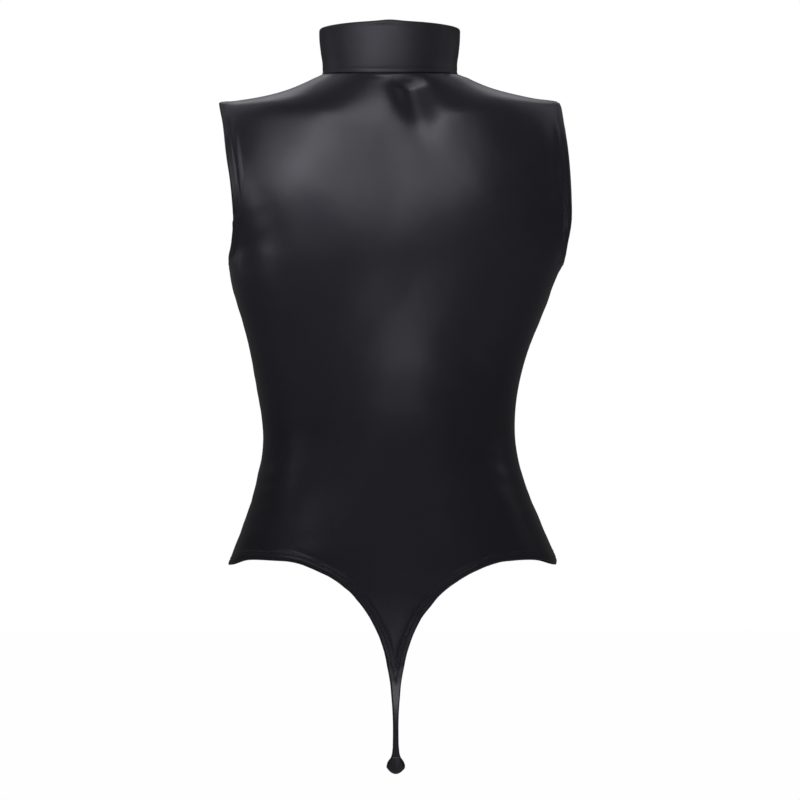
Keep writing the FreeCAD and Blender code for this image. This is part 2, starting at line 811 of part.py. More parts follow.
def neck_label():
    rows = []
    for v in (0.4, 0.8, 1.2, 1.6, 2.0):
        a, b = theta_of_x(14.0, v, True), theta_of_x(-14.0, v, True)
        rows.append([(a + (b - a) * q / 6, v) for q in range(7)])
    return tape_patch(rows, fabric_t + 0.9, fabric_t + 1.2)


def care_label():
    rows = []
    for k in range(6):
        v = 15.4 + 0.28 * k
        g = angle_gap(0.0, v, 1.0)
        rows.append([(g * (1.5 + 22.0 * q / 5), v) for q in range(6)])
    return tape_patch(rows, fabric_t + 0.9, fabric_t + 1.2)


# ---------------------------------------------------------------- zip
def phi_of_z(z):
    return math.asin((z - zip_zc) / zip_R)


def arc_pt(x, r, phi):
    return (x, zip_yc - r * math.cos(phi), zip_zc + r * math.sin(phi))


PHI_TOP = phi_of_z(zip_top_z - 1.5)
PHI_BOT = phi_of_z(zip_bottom_z + 9.0)
AXIS_P, AXIS_D = FreeCAD.Vector(0, zip_yc, zip_zc), FreeCAD.Vector(1, 0, 0)


def sector(poly, phi_hi, phi_lo):
    """Solid swept along the zip's arc; poly is a list of (x, r) corners."""
    w = Part.makePolygon([FreeCAD.Vector(*arc_pt(x, r, phi_hi)) for x, r in poly + poly[:1]])
    return Part.Face(w).revolve(AXIS_P, AXIS_D, math.degrees(phi_hi - phi_lo))


def drop(x, z):
    """How far the front curves back from the centre line at this x."""
    if z > -18.0:
        lo, hi = 0.0, 1.0
        for _ in range(40):
            m = (lo + hi) / 2
            if CC[3](m) < z:
                lo = m
            else:
                hi = m
        w, n, k = CC[4](lo), 2.3, arc_y(z) - 3.0
    else:
        lo, hi = 0.0, V_ZIP + 0.5
        for _ in range(40):
            m = (lo + hi) / 2
            if COL[3](m) > z:
                lo = m
            else:
                hi = m
        r = crow(lo)
        w, n, k = min(r[4], r[5]), r[10], r[7] + r[8]
    return k * (1 - (1 - (abs(x) / w) ** n) ** (1 / n))


def zip_tape(side):
    outer, inner = [], []
    n = 40
    lo, hi = phi_of_z(zip_bottom_z + 1.5), phi_of_z(zip_top_z - 0.8)
    for k in range(n + 1):
        phi = hi + (lo - hi) * k / n
        z = zip_zc + zip_R * math.sin(phi)
        o, i = [], []
        for x in (0.75, 3.6, 6.5, 10.0, 14.0):
            dr = drop(x, z)
            o.append(arc_pt(side * x, zip_R - 1.15 - dr, phi))
            i.append(arc_pt(side * x, zip_R - 1.65 - dr, phi))
        outer.append(o)
        inner.append(i)
    return thick(outer, inner)


def zip_coil(side):
    poly = [(0.72, -0.75), (1.0, -1.05), (3.1, -1.05), (3.4, -0.75), (3.4, 0.1), (2.9, 0.6), (1.2, 0.6), (0.72, 0.1)]
    return sector([(side * x, zip_R + r) for x, r in poly], PHI_TOP - 2.2 / zip_R, PHI_BOT)


def top_stop(side):
    poly = [(0.8, -1.05), (3.5, -1.05), (3.5, 0.8), (0.8, 0.8)]
    return sector([(side * x, zip_R + r) for x, r in poly], PHI_TOP + 0.5 / zip_R, PHI_TOP - 2.0 / zip_R)


def bottom_stop():
    poly = [(-3.3, -1.05), (3.3, -1.05), (3.3, 0.8), (-3.3, 0.8)]
    return sector([(x, zip_R + r) for x, r in poly], PHI_BOT - 0.2 / zip_R, PHI_BOT - 3.4 / zip_R)


slider_len = 9.0
PHI_S = PHI_TOP - (2.0 + 0.4 + slider_len / 2) / zip_R      # slider closed, just under the stops
pin_r, pin_up = 0.55, 3.4


def at(phi_mid, y_len, x0, x1, r0, r1):
    """Block on the zip's arc, y_len long along it."""
    a = y_len / 2 / zip_R
    return sector([(x0, zip_R + r0), (x1, zip_R + r0), (x1, zip_R + r1), (x0, zip_R + r1)], phi_mid + a, phi_mid - a)


def zip_slider():
    s = at(PHI_S, slider_len, -4.6, 4.6, 0.9, 1.8)
    s = s.fuse(at(PHI_S, slider_len, -4.3, 4.3, -2.85, -1.95))
    s = s.fuse(at(PHI_S + 3.0 / zip_R, 2.4, -0.38, 0.38, -2.4, 1.4))
    for k in (1, -1):
        s = s.fuse(at(PHI_S, slider_len, min(k * 3.75, k * 4.6), max(k * 3.75, k * 4.6), -0.85, 1.2))
        ear = at(PHI_S, 3.6, min(k * 2.0, k * 3.0), max(k * 2.0, k * 3.0), 1.5, pin_up)
        c = FreeCAD.Vector(*arc_pt(min(k * 2.0, k * 3.0), zip_R + pin_up, PHI_S))
        ear = ear.fuse(Part.makeCylinder(1.8, 1.0, c, FreeCAD.Vector(1, 0, 0)))
        ear = ear.cut(Part.makeCylinder(pin_r + 0.25, 1.4, c - FreeCAD.Vector(0.2, 0, 0), FreeCAD.Vector(1, 0, 0)))
        s = s.fuse(ear)
    return s.removeSplitter()


def zip_pull():
    """Pull tab, hanging down along the front from its pin."""
    c = arc_pt(0.0, zip_R + pin_up, PHI_S)
    pin = Part.makeCylinder(pin_r, 5.8, FreeCAD.Vector(-2.9, 0, 0), FreeCAD.Vector(1, 0, 0))
    neck = Part.makeBox(3.4, 1.2, 6.0, FreeCAD.Vector(-1.7, -0.6, -6.2))
    hub = Part.makeCylinder(0.95, 3.4, FreeCAD.Vector(-1.7, 0, 0), FreeCAD.Vector(1, 0, 0))
    tab = Part.makeBox(6.4, 1.2, 24.0, FreeCAD.Vector(-3.2, -0.6, -29.5))
    tab = tab.makeFillet(2.4, [e for e in tab.Edges if abs(e.BoundBox.YLength - 1.2) < 0.01 and e.BoundBox.XLength < 0.01
                               and e.BoundBox.ZLength < 0.01])
    slot = Part.makeBox(2.6, 3.0, 9.0, FreeCAD.Vector(-1.3, -1.5, -26.0))
    s = pin.fuse([neck, hub, tab]).cut(slot).removeSplitter()
    s.rotate(FreeCAD.Vector(0, 0, 0), FreeCAD.Vector(1, 0, 0), -math.degrees(PHI_S))
    s.translate(FreeCAD.Vector(*c))
    return s


os.makedirs("parts", exist_ok=True)
export(back_panel(), "back_panel")
export(front_panel(1), "front_panel_left")
export(front_panel(-1), "front_panel_right")
export(collar(), "collar")
export(gusset(), "crotch_gusset")
export(gusset_lining(), "gusset_lining")
export(armhole_hem(1), "armhole_hem_left")
export(armhole_hem(-1), "armhole_hem_right")
export(leg_hem(1), "leg_hem_left")
export(leg_hem(-1), "leg_hem_right")
export(side_tape(1, 0.95, 4.35, 12), "shoulder_tape_left")
export(side_tape(-1, 0.95, 4.35, 12), "shoulder_tape_right")
export(side_tape(1, 11.75, 22.6, 24), "side_seam_tape_left")
export(side_tape(-1, 11.75, 22.6, 24), "side_seam_tape_right")
export(neck_tape(), "neck_seam_tape")
export(centre_tape(), "centre_seam_tape")
export(neck_label(), "neck_label")
export(care_label(), "care_label")
export(zip_tape(1), "zip_tape_left")
export(zip_tape(-1), "zip_tape_right")
export(zip_coil(1), "zip_coil_left")
export(zip_coil(-1), "zip_coil_right")
export(top_stop(1), "zip_top_stop_left")
export(top_stop(-1), "zip_top_stop_right")
export(bottom_stop(), "zip_bottom_stop")
export(zip_slider(), "zip_slider")
export(zip_pull(), "zip_pull")
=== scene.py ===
import math

import bpy
import numpy as np
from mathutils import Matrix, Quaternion, Vector
from mathutils.kdtree import KDTree


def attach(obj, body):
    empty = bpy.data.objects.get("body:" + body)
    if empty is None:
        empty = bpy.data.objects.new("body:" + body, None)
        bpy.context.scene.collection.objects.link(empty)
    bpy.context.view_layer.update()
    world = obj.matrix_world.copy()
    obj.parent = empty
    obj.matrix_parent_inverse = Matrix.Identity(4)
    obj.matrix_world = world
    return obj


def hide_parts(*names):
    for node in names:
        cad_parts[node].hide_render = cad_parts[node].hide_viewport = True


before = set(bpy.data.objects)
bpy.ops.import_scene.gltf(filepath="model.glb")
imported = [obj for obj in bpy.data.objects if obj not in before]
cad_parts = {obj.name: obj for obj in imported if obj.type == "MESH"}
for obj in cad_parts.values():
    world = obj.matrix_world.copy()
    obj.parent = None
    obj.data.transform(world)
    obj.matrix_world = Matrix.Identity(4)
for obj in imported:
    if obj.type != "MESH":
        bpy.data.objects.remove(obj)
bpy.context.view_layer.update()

# ------------------------------------------------------------------ the worn shape, in millimetres
ZIP_GAP, ZIP_R, ZIP_YC, ZIP_ZC = 6.5, 1100.0, 1015.7, -194.7
ZIP_TOP_Z, ZIP_BOT_Z = 32.0, -385.0
ARM_MID, ARM_H, ARM_QB, ARM_QF = -104.6, 76.2, 0.63, 0.60
STRAP_X = -5.6
EYE_X, EYE_Z, EYE_D, EYE_S = -9.7, -315.0, 3300.0, 0.97
V_TIP, V_ARM, V_ZIP, V_TOP = 5.0, 11.0, 20.0, 18.0
NAN = float("nan")
ROWS = np.array([
    (0.0, 0.0, -3.0, -18.0, 65.0, 65.0, 62.0, NAN, -3.0, 2.10, 2.30),
    (-2.5, -2.0, -8.0, -26.0, 72.0, 73.0, 65.0, NAN, -1.5, 2.10, 2.30),
    (-10.2, -10.0, -17.0, -37.0, 85.5, 88.0, 69.5, NAN, 0.0, 2.05, 2.25),
    (-18.2, -17.3, -28.0, -50.0, 104.0, 105.0, 75.0, NAN, 2.0, 2.05, 2.20),
    (-25.0, -22.0, -40.0, -64.0, 132.0, 130.0, 80.5, NAN, 4.0, 2.10, 2.20),
    (-28.5, -28.5, -53.0, -78.0, 165.0, 163.5, 85.5, NAN, 6.0, 2.20, 2.25),
    (-50.0, -50.0, -72.0, -95.0, 160.0, 167.0, 91.0, NAN, 6.0, 2.35, 2.35),
    (-80.0, -80.0, -95.0, -110.0, 156.0, 170.5, 96.5, NAN, 6.0, 2.45, 2.45),
    (-110.0, -110.0, -118.0, -126.0, 151.5, 172.5, 100.5, NAN, 6.0, 2.50, 2.50),
    (-140.0, -140.0, -144.0, -147.0, 149.5, 173.5, 102.5, NAN, 6.0, 2.50, 2.50),
    (-165.0, -165.0, -166.0, -167.0, 152.0, 170.5, 103.0, NAN, 6.0, 2.45, 2.45),
    (-180.8, -180.8, -180.8, -180.8, 155.5, 168.0, 102.5, NAN, 6.0, 2.45, 2.45),
    (-200.0, -200.0, -200.0, -200.0, 153.7, 159.0, 101.0, NAN, 6.0, 2.40, 2.40),
    (-218.0, -218.0, -218.0, -218.0, 149.0, 153.0, 99.0, NAN, 6.0, 2.40, 2.40),
    (-240.0, -240.0, -240.0, -240.0, 142.3, 144.2, 96.0, NAN, 6.0, 2.35, 2.35),
    (-266.5, -266.5, -266.5, -266.5, 135.5, 133.6, 91.5, NAN, 6.0, 2.30, 2.30),
    (-290.0, -290.0, -290.0, -290.0, 131.2, 126.6, 88.0, NAN, 6.0, 2.30, 2.30),
    (-315.0, -315.0, -315.0, -315.0, 126.8, 122.0, 85.5, NAN, 6.0, 2.30, 2.30),
    (-344.0, -344.0, -344.0, -344.0, 121.9, 120.1, 84.5, NAN, 6.0, 2.30, 2.30),
    (-363.5, -363.5, -363.5, -363.5, 122.9, 122.0, 85.5, NAN, 6.0, 2.30, 2.30),
    (-385.0, -385.0, -385.0, -385.0, 127.3, 127.2, 86.5, 67.7, 6.0, 2.30, 2.30),
    (-412.0, -412.0, -412.0, -412.0, 133.6, 136.5, 89.5, 66.8, 6.0, 2.30, 2.30),
    (-436.0, -436.0, -436.0, -436.0, 143.0, 148.0, 92.5, 68.0, 6.5, 2.30, 2.30),
    (-459.0, -459.0, -459.0, -459.0, 153.5, 159.5, 95.5, 70.5, 7.0, 2.30, 2.30),
    (-480.0, -480.0, -480.0, -480.0, 159.0, 163.0, 98.0, 72.5, 7.0, 2.30, 2.30),
    (-510.0, -510.0, -510.0, -510.0, 162.0, 166.0, 100.5, 75.0, 7.0, 2.30, 2.30),
    (-545.0, -545.0, -545.0, -545.0, 162.0, 166.0, 100.5, 75.0, 7.0, 2.30, 2.30),
    (-580.0, -580.0, -580.0, -580.0, 160.0, 164.0, 96.0, 70.0, 7.0, 2.30, 2.30),
    (-610.0, -610.0, -610.0, -610.0, 158.0, 160.0, 85.0, 62.0, 7.0, 2.30, 2.30),
])
LEG = np.array([
    (556.6, 225.0, 556.2), (557.2, 236, 546), (557.9, 248, 535), (558.7, 260, 523), (559.7, 271, 514),
    (561, 286, 504), (564, 300, 493), (567, 308, 484.5), (570, 315, 478), (573, 321.5, 471.5),
    (576, 328, 466), (579, 333, 461), (582, 337.5, 456.5), (585, 341.5, 452), (588, 345, 448),
    (591, 349, 444.3), (594, 352, 441), (597, 354.6, 438), (600, 357, 435.4), (606, 362, 430.8),
    (612, 366.2, 425.8), (618, 370, 421.4), (624, 373.2, 418.2), (630, 376.2, 415.2), (636, 379, 412.6),
    (642, 381.2, 410.4), (648, 383.2, 408.4), (654, 384.9, 406.6), (660, 386.2, 405.2),
])
STRAP_BACK = np.array([
    (98.3, -564.5, 8.1), (96.8, -571.0, 6.8), (93.6, -582.6, 4.9), (88.7, -594.4, 3.9), (81.5, -606.5, 3.0),
    (71.8, -618.8, 2.5), (61.0, -629.5, 2.4), (50.0, -640.0, 2.5), (38.5, -650.3, 2.8), (29.5, -658.0, 3.6),
])
STRAP_FRONT = np.array([
    (-70.5, -577.5, 7.6), (-69.1, -584.5, 6.2), (-66.3, -596.2, 4.3), (-62.2, -607.7, 3.4), (-56.8, -619.1, 2.6),
    (-50.2, -630.4, 2.3), (-42.5, -640.5, 2.3), (-33.5, -650.3, 2.4), (-26.0, -657.3, 3.0), (-21.5, -661.2, 3.6),
])
GUSSET = np.array([
    (29.0, -658.5, 3.7, 0.1), (26.2, -661.6, 4.2, 0.4), (22.6, -665.6, 5.2, 1.1), (18.5, -669.6, 6.6, 2.3),
    (13.0, -673.8, 8.0, 4.2), (7.0, -676.6, 8.8, 5.8), (1.0, -677.2, 9.0, 6.2), (-5.0, -675.2, 9.0, 5.2),
    (-10.5, -671.6, 8.5, 3.8), (-14.8, -668.0, 7.0, 2.2), (-18.0, -664.9, 5.0, 0.9),
] + [(y, z, h, 0.0) for y, z, h in STRAP_FRONT[::-1]] + [(-71.3, -573.2, 8.4, 0.0)])
COLLAR = np.array([
    (0.0, 0.0, 0.0, -3.0, -18.0, 65.0, 65.0, 62.0),
    (0.2, 9.0, 9.0, 7.0, -8.0, 65.0, 64.7, 61.2),
    (0.5, 22.0, 22.0, 21.5, 7.0, 66.6, 66.4, 60.0),
    (0.8, 35.5, 35.5, 36.5, 22.5, 68.0, 67.6, 58.6),
    (1.0, 44.0, 44.0, 46.0, 32.0, 68.3, 67.7, 57.6),
])


class Pchip:
    """Smooth curve through points that never overshoots them."""

    def __init__(self, xs, ys):
        self.x, self.y = np.asarray(xs, float), np.asarray(ys, float)
        h = np.diff(self.x)
        s = np.diff(self.y) / h
        m = np.zeros(len(xs))
        m[0], m[-1] = s[0], s[-1]
        for i in range(1, len(xs) - 1):
            if s[i - 1] * s[i] > 0:
                w1, w2 = 2 * h[i] + h[i - 1], h[i] + 2 * h[i - 1]
                m[i] = (w1 + w2) / (w1 / s[i - 1] + w2 / s[i])
        self.h, self.m = h, m

    def __call__(self, x):
        x = np.asarray(x, float)
        i = np.clip(np.searchsorted(self.x, x, side="left") - 1, 0, len(self.x) - 2)
        t = (x - self.x[i]) / self.h[i]
        t2, t3 = t * t, t * t * t
        return ((2 * t3 - 3 * t2 + 1) * self.y[i] + (t3 - 2 * t2 + t) * self.h[i] * self.m[i]
                + (-2 * t3 + 3 * t2) * self.y[i + 1] + (t3 - t2) * self.h[i] * self.m[i + 1])


def arc_y(z):
    return np.sqrt(ZIP_R ** 2 - (z - ZIP_ZC) ** 2) - ZIP_YC


VS = np.arange(len(ROWS), dtype=float)
_rows = ROWS.copy()
_rows[:, 7] = np.where(np.isnan(_rows[:, 7]), arc_y(_rows[:, 3]), _rows[:, 7])
COL = [Pchip(VS, _rows[:, c]) for c in range(11)]


def eased(c, sigma=0.55, step=0.25):
    """The same curve with its kinks rounded; the ends stay where they are."""
    lo, hi = float(c.x[0]), float(c.x[-1])
    fine = np.arange(lo - 3, hi + 3 + 1e-9, 0.05)
    inside = c(np.clip(fine, lo, hi))
    vals = np.where(fine < lo, 2 * c(lo) - c(np.clip(2 * lo - fine, lo, hi)),
                    np.where(fine > hi, 2 * c(hi) - c(np.clip(2 * hi - fine, lo, hi)), inside))
    k = np.exp(-(np.arange(-50, 51) * 0.05 / sigma) ** 2 / 2)
    soft = np.convolve(vals, k / k.sum(), mode="same")
    at = np.arange(lo, hi + 1e-9, step)
    return Pchip(at, np.interp(at, fine, soft))


for _c in (2, 6, 9):
    COL[_c] = eased(COL[_c])


def arm_q(v):
    inside = (v > V_TIP) & (v < V_ARM)
    t = (COL[0](v) - ARM_MID) / ARM_H
    c = np.where(inside, np.sqrt(np.clip(1 - t * t, 0, None)), 0.0)
    return ARM_QB * c, ARM_QF * c


def crow(v):
    v = np.asarray(v, float)
    r = [c(v) for c in COL]
    r[7] = np.where(v < V_ZIP, arc_y(r[3]), r[7])
    qb, _ = arm_q(v)
    k = (1 - qb ** r[9]) ** (1 / r[9])
    r[4], r[5] = r[4] / k, r[5] / k
    return r


def droop(th, v):
    a = np.clip((v - 21.2) / 1.8, 0, 1)
    a = a * a * (3 - 2 * a)
    c = 1 - np.abs(np.cos(th))
    return -6.0 * a * np.exp(-(c / 0.028) ** 2) - 1.5 * a * np.exp(-(c / 0.12) ** 2)


def P0(th, v):
    th, v = np.broadcast_arrays(np.asarray(th, float), np.asarray(v, float))
    zl, zr, zb, zf, xl, xr, yb, yf, ys, nb, nf = crow(v)
    c, s = np.cos(th), np.sin(th)
    w = np.where(c > 0, xl, xr)
    up = s >= 0
    k = np.where(up, yb - ys, yf + ys)
    n = np.where(up, nb, nf)
    ze = np.where(up, zb, zf)
    rr = ((np.abs(c) / w) ** n + (np.abs(s) / k) ** n) ** (-1 / n)
    zs = np.where(c > 0, zl, zr)
    return np.stack([rr * c, ys + rr * s, zs * c * c + ze * s * s], -1)


def P(th, v):
    p = P0(th, v)
    p[..., 2] += droop(th, v)
    return p


def unit(a):
    return a / np.maximum(np.linalg.norm(a, axis=-1, keepdims=True), 1e-12)


def tangents(th, v, f=P, lo=0.0, hi=27.999):
    e, g = 0.004, 0.01 if hi > 2 else 0.004
    v0, v1 = np.maximum(lo, v - g), np.minimum(hi, v + g)
    a = (f(th + e, v) - f(th - e, v)) / (2 * e)
    b = (f(th, v1) - f(th, v0)) / (v1 - v0)[..., None]
    return a, b


def normal(th, v, f=P, lo=0.0, hi=27.999):
    th, v = np.broadcast_arrays(np.asarray(th, float), np.asarray(v, float))
    a, b = tangents(th, v, f, lo, hi)
    n = unit(np.cross(a, b))
    p = f(th, v)
    # outwards, judged from the body's axis
    out = np.stack([np.cos(th), np.sin(th), np.zeros_like(th)], -1)
    flip = np.sum(n * out, -1) < 0
    n[flip] *= -1
    return n


def eye(p):
    k = EYE_S * (EYE_D - p[..., 1]) / EYE_D
    return 400 - (p[..., 0] - EYE_X) / k, 400 - (p[..., 2] - EYE_Z) / k


LEG_L, LEG_R = Pchip(LEG[:, 0], LEG[:, 1]), Pchip(LEG[:, 0], LEG[:, 2])
INSET = {True: 0.0, False: 1.2}


def inside_leg(th, v, inset):
    x, h = eye(P0(th, v))
    h = np.clip(h, LEG[0, 0], LEG[-1, 0])
    return np.where(np.cos(th) > 0, x - LEG_L(h) - inset, LEG_R(h) - inset - x)


def bisect(test, lo, hi, n=46):
    lo, hi = np.asarray(lo, float).copy(), np.asarray(hi, float).copy()
    for _ in range(n):
        m = (lo + hi) / 2
        ok = test(m)
        lo, hi = np.where(ok, m, lo), np.where(ok, hi, m)
    return lo


def v_seen_at(h, back):
    th = math.pi / 2 if back else -math.pi / 2
    return float(bisect(lambda m: eye(P0(th, m))[1] < h, 20.0, 28.0))


V_SIDE = float(bisect(lambda m: eye(P0(0.0, m))[1] < LEG[0, 0], 22.0, 24.5))
V_END = {True: v_seen_at(LEG[-1, 0], True), False: v_seen_at(LEG[-1, 0], False)}


def theta_of_x(x, v, back):
    x, v = np.broadcast_arrays(np.asarray(x, float), np.asarray(v, float))
    zl, zr, zb, zf, xl, xr, yb, yf, ys, nb, nf = crow(v)
    w = np.where(x > 0, xl, xr)
    k, n = (yb - ys, nb) if back else (yf + ys, nf)
    q = (1 - (np.abs(x) / w) ** n) ** (1 / n)
    return np.arctan2(k * q if back else -k * q, x)


def seam_theta(side, back):
    return 0.0 if side > 0 else (math.pi if back else -math.pi)


def edge_theta(v, side, back):
    v = np.asarray(v, float)
    zl, zr, zb, zf, xl, xr, yb, yf, ys, nb, nf = crow(v)
    qb, qf = arm_q(v)
    w = xl if side > 0 else xr
    if back:
        th = np.arctan2(qb * (yb - ys), w * (1 - qb ** nb) ** (1 / nb))
    else:
        th = -np.arctan2(qf * (yf + ys), w * (1 - qf ** nf) ** (1 / nf))
    if side < 0:
        th = math.pi - th if back else -math.pi - th
    return th


def end_theta(side, back):
    v = V_END[back] - 0.0005
    mid = float(theta_of_x(STRAP_X, v, back))
    end = seam_theta(side, back)
    m = float(bisect(lambda t: inside_leg(mid + (end - mid) * t, v, INSET[back]) >= 0, 0.0, 1.0))
    return mid + (end - mid) * m


def smooth(t):
    t = np.clip(t, 0.0, 1.0)
    return t * t * (3 - 2 * t)


def sstep(a, b, x):
    return smooth((x - a) / (b - a))


def x_centre(v, back):
    return STRAP_X * smooth((v - 17.0) / (V_END[back] - 18.5))


def x_bound(side, back, v):
    end = float(P(end_theta(side, back), V_END[back])[0])
    t = smooth((v - V_TOP) / (V_END[back] - V_TOP))
    return 20.0 * side * (1 - t) + end * t


def v_of_zl(z):
    return bisect(lambda m: COL[0](m) > z, np.zeros_like(z), np.full_like(z, 12.0))


def cos_steps(a, b, n):
    return a + (b - a) * (1 - np.cos(np.pi * np.arange(n + 1) / n)) / 2


NECK_VS = np.concatenate([[0.02], np.linspace(0, 5, 34)[1:-1]])
ARM_VS = v_of_zl(cos_steps(ROWS[5, 0], ROWS[11, 0], 66))
ARM_VS[0], ARM_VS[-1] = V_TIP, V_ARM
SIDE_VS = np.linspace(V_ARM, V_TOP, 52)[1:]
UPPER = np.concatenate([NECK_VS, ARM_VS, SIDE_VS])
LOWER = 58
M = 64
FRAC = 0.10 * np.linspace(0, 1, M) + 0.90 * np.linspace(0, 1, M) ** 1.5


def angle_gap(th, v, gap):
    a, _ = tangents(np.asarray(th, float), np.asarray(v, float))
    return gap / np.linalg.norm(a, axis=-1)


def wing(side, back):
    """(theta, v) grids of one wing, rows from the collar seam to the leg line, columns from the outer edge in."""
    e = edge_theta(UPPER, side, back)
    i = theta_of_x(x_bound(side, back, UPPER), UPPER, back)
    th = e[:, None] + (i - e)[:, None] * FRAC[None, :]
    v = np.repeat(UPPER[:, None], M, 1)
    start, end = seam_theta(side, back), end_theta(side, back)
    t = 0.5 * FRAC + 0.5 * (1 - (1 - FRAC) ** 2.6)
    fth = start + (end - start) * t
    fv = bisect(lambda m: inside_leg(fth, m, INSET[back]) >= 0, np.full(M, 22.0), np.full(M, V_END[back]))
    fv[0], fv[-1] = V_SIDE, V_END[back]
    s = np.linspace(0, 1, LOWER + 1)[1:]
    s = 0.35 * s + 0.65 * (1 - (1 - s) ** 1.8)
    lth = th[-1][None] + (fth - th[-1])[None] * s[:, None]
    lv = v[-1][None] + (fv - v[-1])[None] * s[:, None]
    lth[:, -1] = theta_of_x(x_bound(side, back, lv[:, -1]), lv[:, -1], back)
    lth[-1, -1] = end
    return np.concatenate([th, lth]), np.concatenate([v, lv])


def stations(table, step):
    """A strap's stations at even steps along it."""
    seg = np.hypot(np.diff(table[:, 0]), np.diff(table[:, 1]))
    s = np.concatenate([[0], np.cumsum(seg)])
    t = np.linspace(0, s[-1], int(s[-1] / step) + 2)
    # smooth curve through the points
    m = np.gradient(table, s, axis=0)
    i = np.clip(np.searchsorted(s, t, side="right") - 1, 0, len(s) - 2)
    h = (s[i + 1] - s[i])[:, None]
    u = ((t - s[i])[:, None]) / h
    u2, u3 = u * u, u * u * u
    return ((2 * u3 - 3 * u2 + 1) * table[i] + (u3 - 2 * u2 + u) * h * m[i]
            + (-2 * u3 + 3 * u2) * table[i + 1] + (u3 - u2) * h * m[i + 1])


def ribbon(st, cols):
    """Points of a strap; cols run from +1 (left) to -1."""
    ty, tz = np.gradient(st[:, 0]), np.gradient(st[:, 1])
    m = np.hypot(ty, tz)
    ny, nz = tz / m, -ty / m            # points inwards
    cup = st[:, 3] if st.shape[1] > 3 else np.zeros(len(st))
    d = cup[:, None] * cols[None, :] ** 2
    x = STRAP_X + cols[None, :] * st[:, 2][:, None]
    p = np.stack([x, st[:, 0][:, None] + ny[:, None] * d, st[:, 1][:, None] + nz[:, None] * d], -1)
    return p


def grid_normals(p, out_hint=None):
    du = np.gradient(p, axis=1)
    dv = np.gradient(p, axis=0)
    n = unit(np.cross(du, dv))
    if out_hint is not None:
        flip = np.sum(n * out_hint, -1) < 0
        n[flip] *= -1
    return n


def kd_of(points):
    kd = KDTree(len(points))
    for i, p in enumerate(points):
        kd.insert(Vector(p), i)
    kd.balance()
    return kd


def dense(line, step=0.6):
    """A polyline's points at a fine step, with their distance along it."""
    seg = np.linalg.norm(np.diff(line, axis=0), axis=1)
    s = np.concatenate([[0], np.cumsum(seg)])
    t = np.arange(0, s[-1], step)
    return np.stack([np.interp(t, s, line[:, k]) for k in range(3)], -1), t


def near(points, lines):
    """Distance from each point to the nearest of some lines, and how far along it."""
    pts, along = [], []
    for k, l in enumerate(lines):
        d, t = dense(l)
        pts.append(d)
        along.append(t + 1000.0 * k)
    pts, along = np.concatenate(pts), np.concatenate(along)
    kd = kd_of(pts)
    flat = points.reshape(-1, 3)
    dist, arc = np.empty(len(flat)), np.empty(len(flat))
    for i, p in enumerate(flat):
        _, j, d = kd.find(p)
        dist[i], arc[i] = d, along[j]
    return dist.reshape(points.shape[:-1]), arc.reshape(points.shape[:-1])


# ------------------------------------------------------------------ relief of the cloth over the body
def bump(x, z, cx, cz, sx, sz, rot=0.0):
    c, s = math.cos(math.radians(rot)), math.sin(math.radians(rot))
    u, w = (x - cx) * c + (z - cz) * s, -(x - cx) * s + (z - cz) * c
    return np.exp(-(u / sx) ** 2 - (w / sz) ** 2)


def fold(x, z, x0, z0, x1, z1, width, bend=0.0):
    """A soft crease from one point to another, fading at both ends; 1 along its line."""
    dx, dz = x1 - x0, z1 - z0
    L = math.hypot(dx, dz)
    dx, dz = dx / L, dz / L
    t = ((x - x0) * dx + (z - z0) * dz) / L
    d = -(x - x0) * dz + (z - z0) * dx + bend * 4 * t * (1 - t)
    win = sstep(-0.15, 0.3, t) * (1 - sstep(0.6, 1.15, t))
    return win * (np.exp(-(d / width) ** 2) - 0.45 * np.exp(-((d - 1.6 * width) / width) ** 2)
                  - 0.45 * np.exp(-((d + 1.6 * width) / width) ** 2))


BACK_FOLDS = [
    # x0, z0, x1, z1, width, height
    (150, -60, 112, -72, 5.0, 0.9), (151, -84, 104, -92, 5.5, 1.0), (149, -108, 108, -112, 5.0, 0.9),
    (149, -136, 112, -128, 5.0, 0.8), (152, -164, 110, -146, 6.0, 1.1), (153, -178, 98, -176, 7.0, 1.3),
    (150, -196, 100, -214, 7.0, 0.9),
    (-166, -62, -126, -74, 5.0, 0.7), (-170, -92, -128, -98, 5.5, 0.8), (-171, -124, -128, -120, 5.5, 0.8),
    (-168, -158, -120, -142, 6.0, 1.0), (-165, -180, -106, -178, 7.0, 1.1), (-150, -214, -100, -226, 7.0, 0.8),
    (126, -300, 80, -310, 8.0, 0.7), (124, -335, 74, -338, 8.0, 0.8), (124, -362, 82, -356, 7.0, 0.7),
    (-122, -306, -78, -314, 8.0, 0.7), (-121, -340, -74, -340, 8.0, 0.8), (-124, -368, -80, -360, 7.0, 0.7),
    (134, -393, 94, -380, 5.5, 1.3), (139, -408, 92, -396, 5.5, 1.1), (153, -454, 104, -428, 7.0, 1.3),
    (150, -440, 108, -412, 6.0, 0.8),
    (-130, -394, -92, -380, 5.5, 1.1), (-147, -430, -98, -404, 6.0, 1.3), (-150, -440, -104, -424, 6.0, 1.0),
    (104, -468, 52, -452, 8.0, 0.7), (-108, -466, -60, -452, 8.0, 0.7),
]
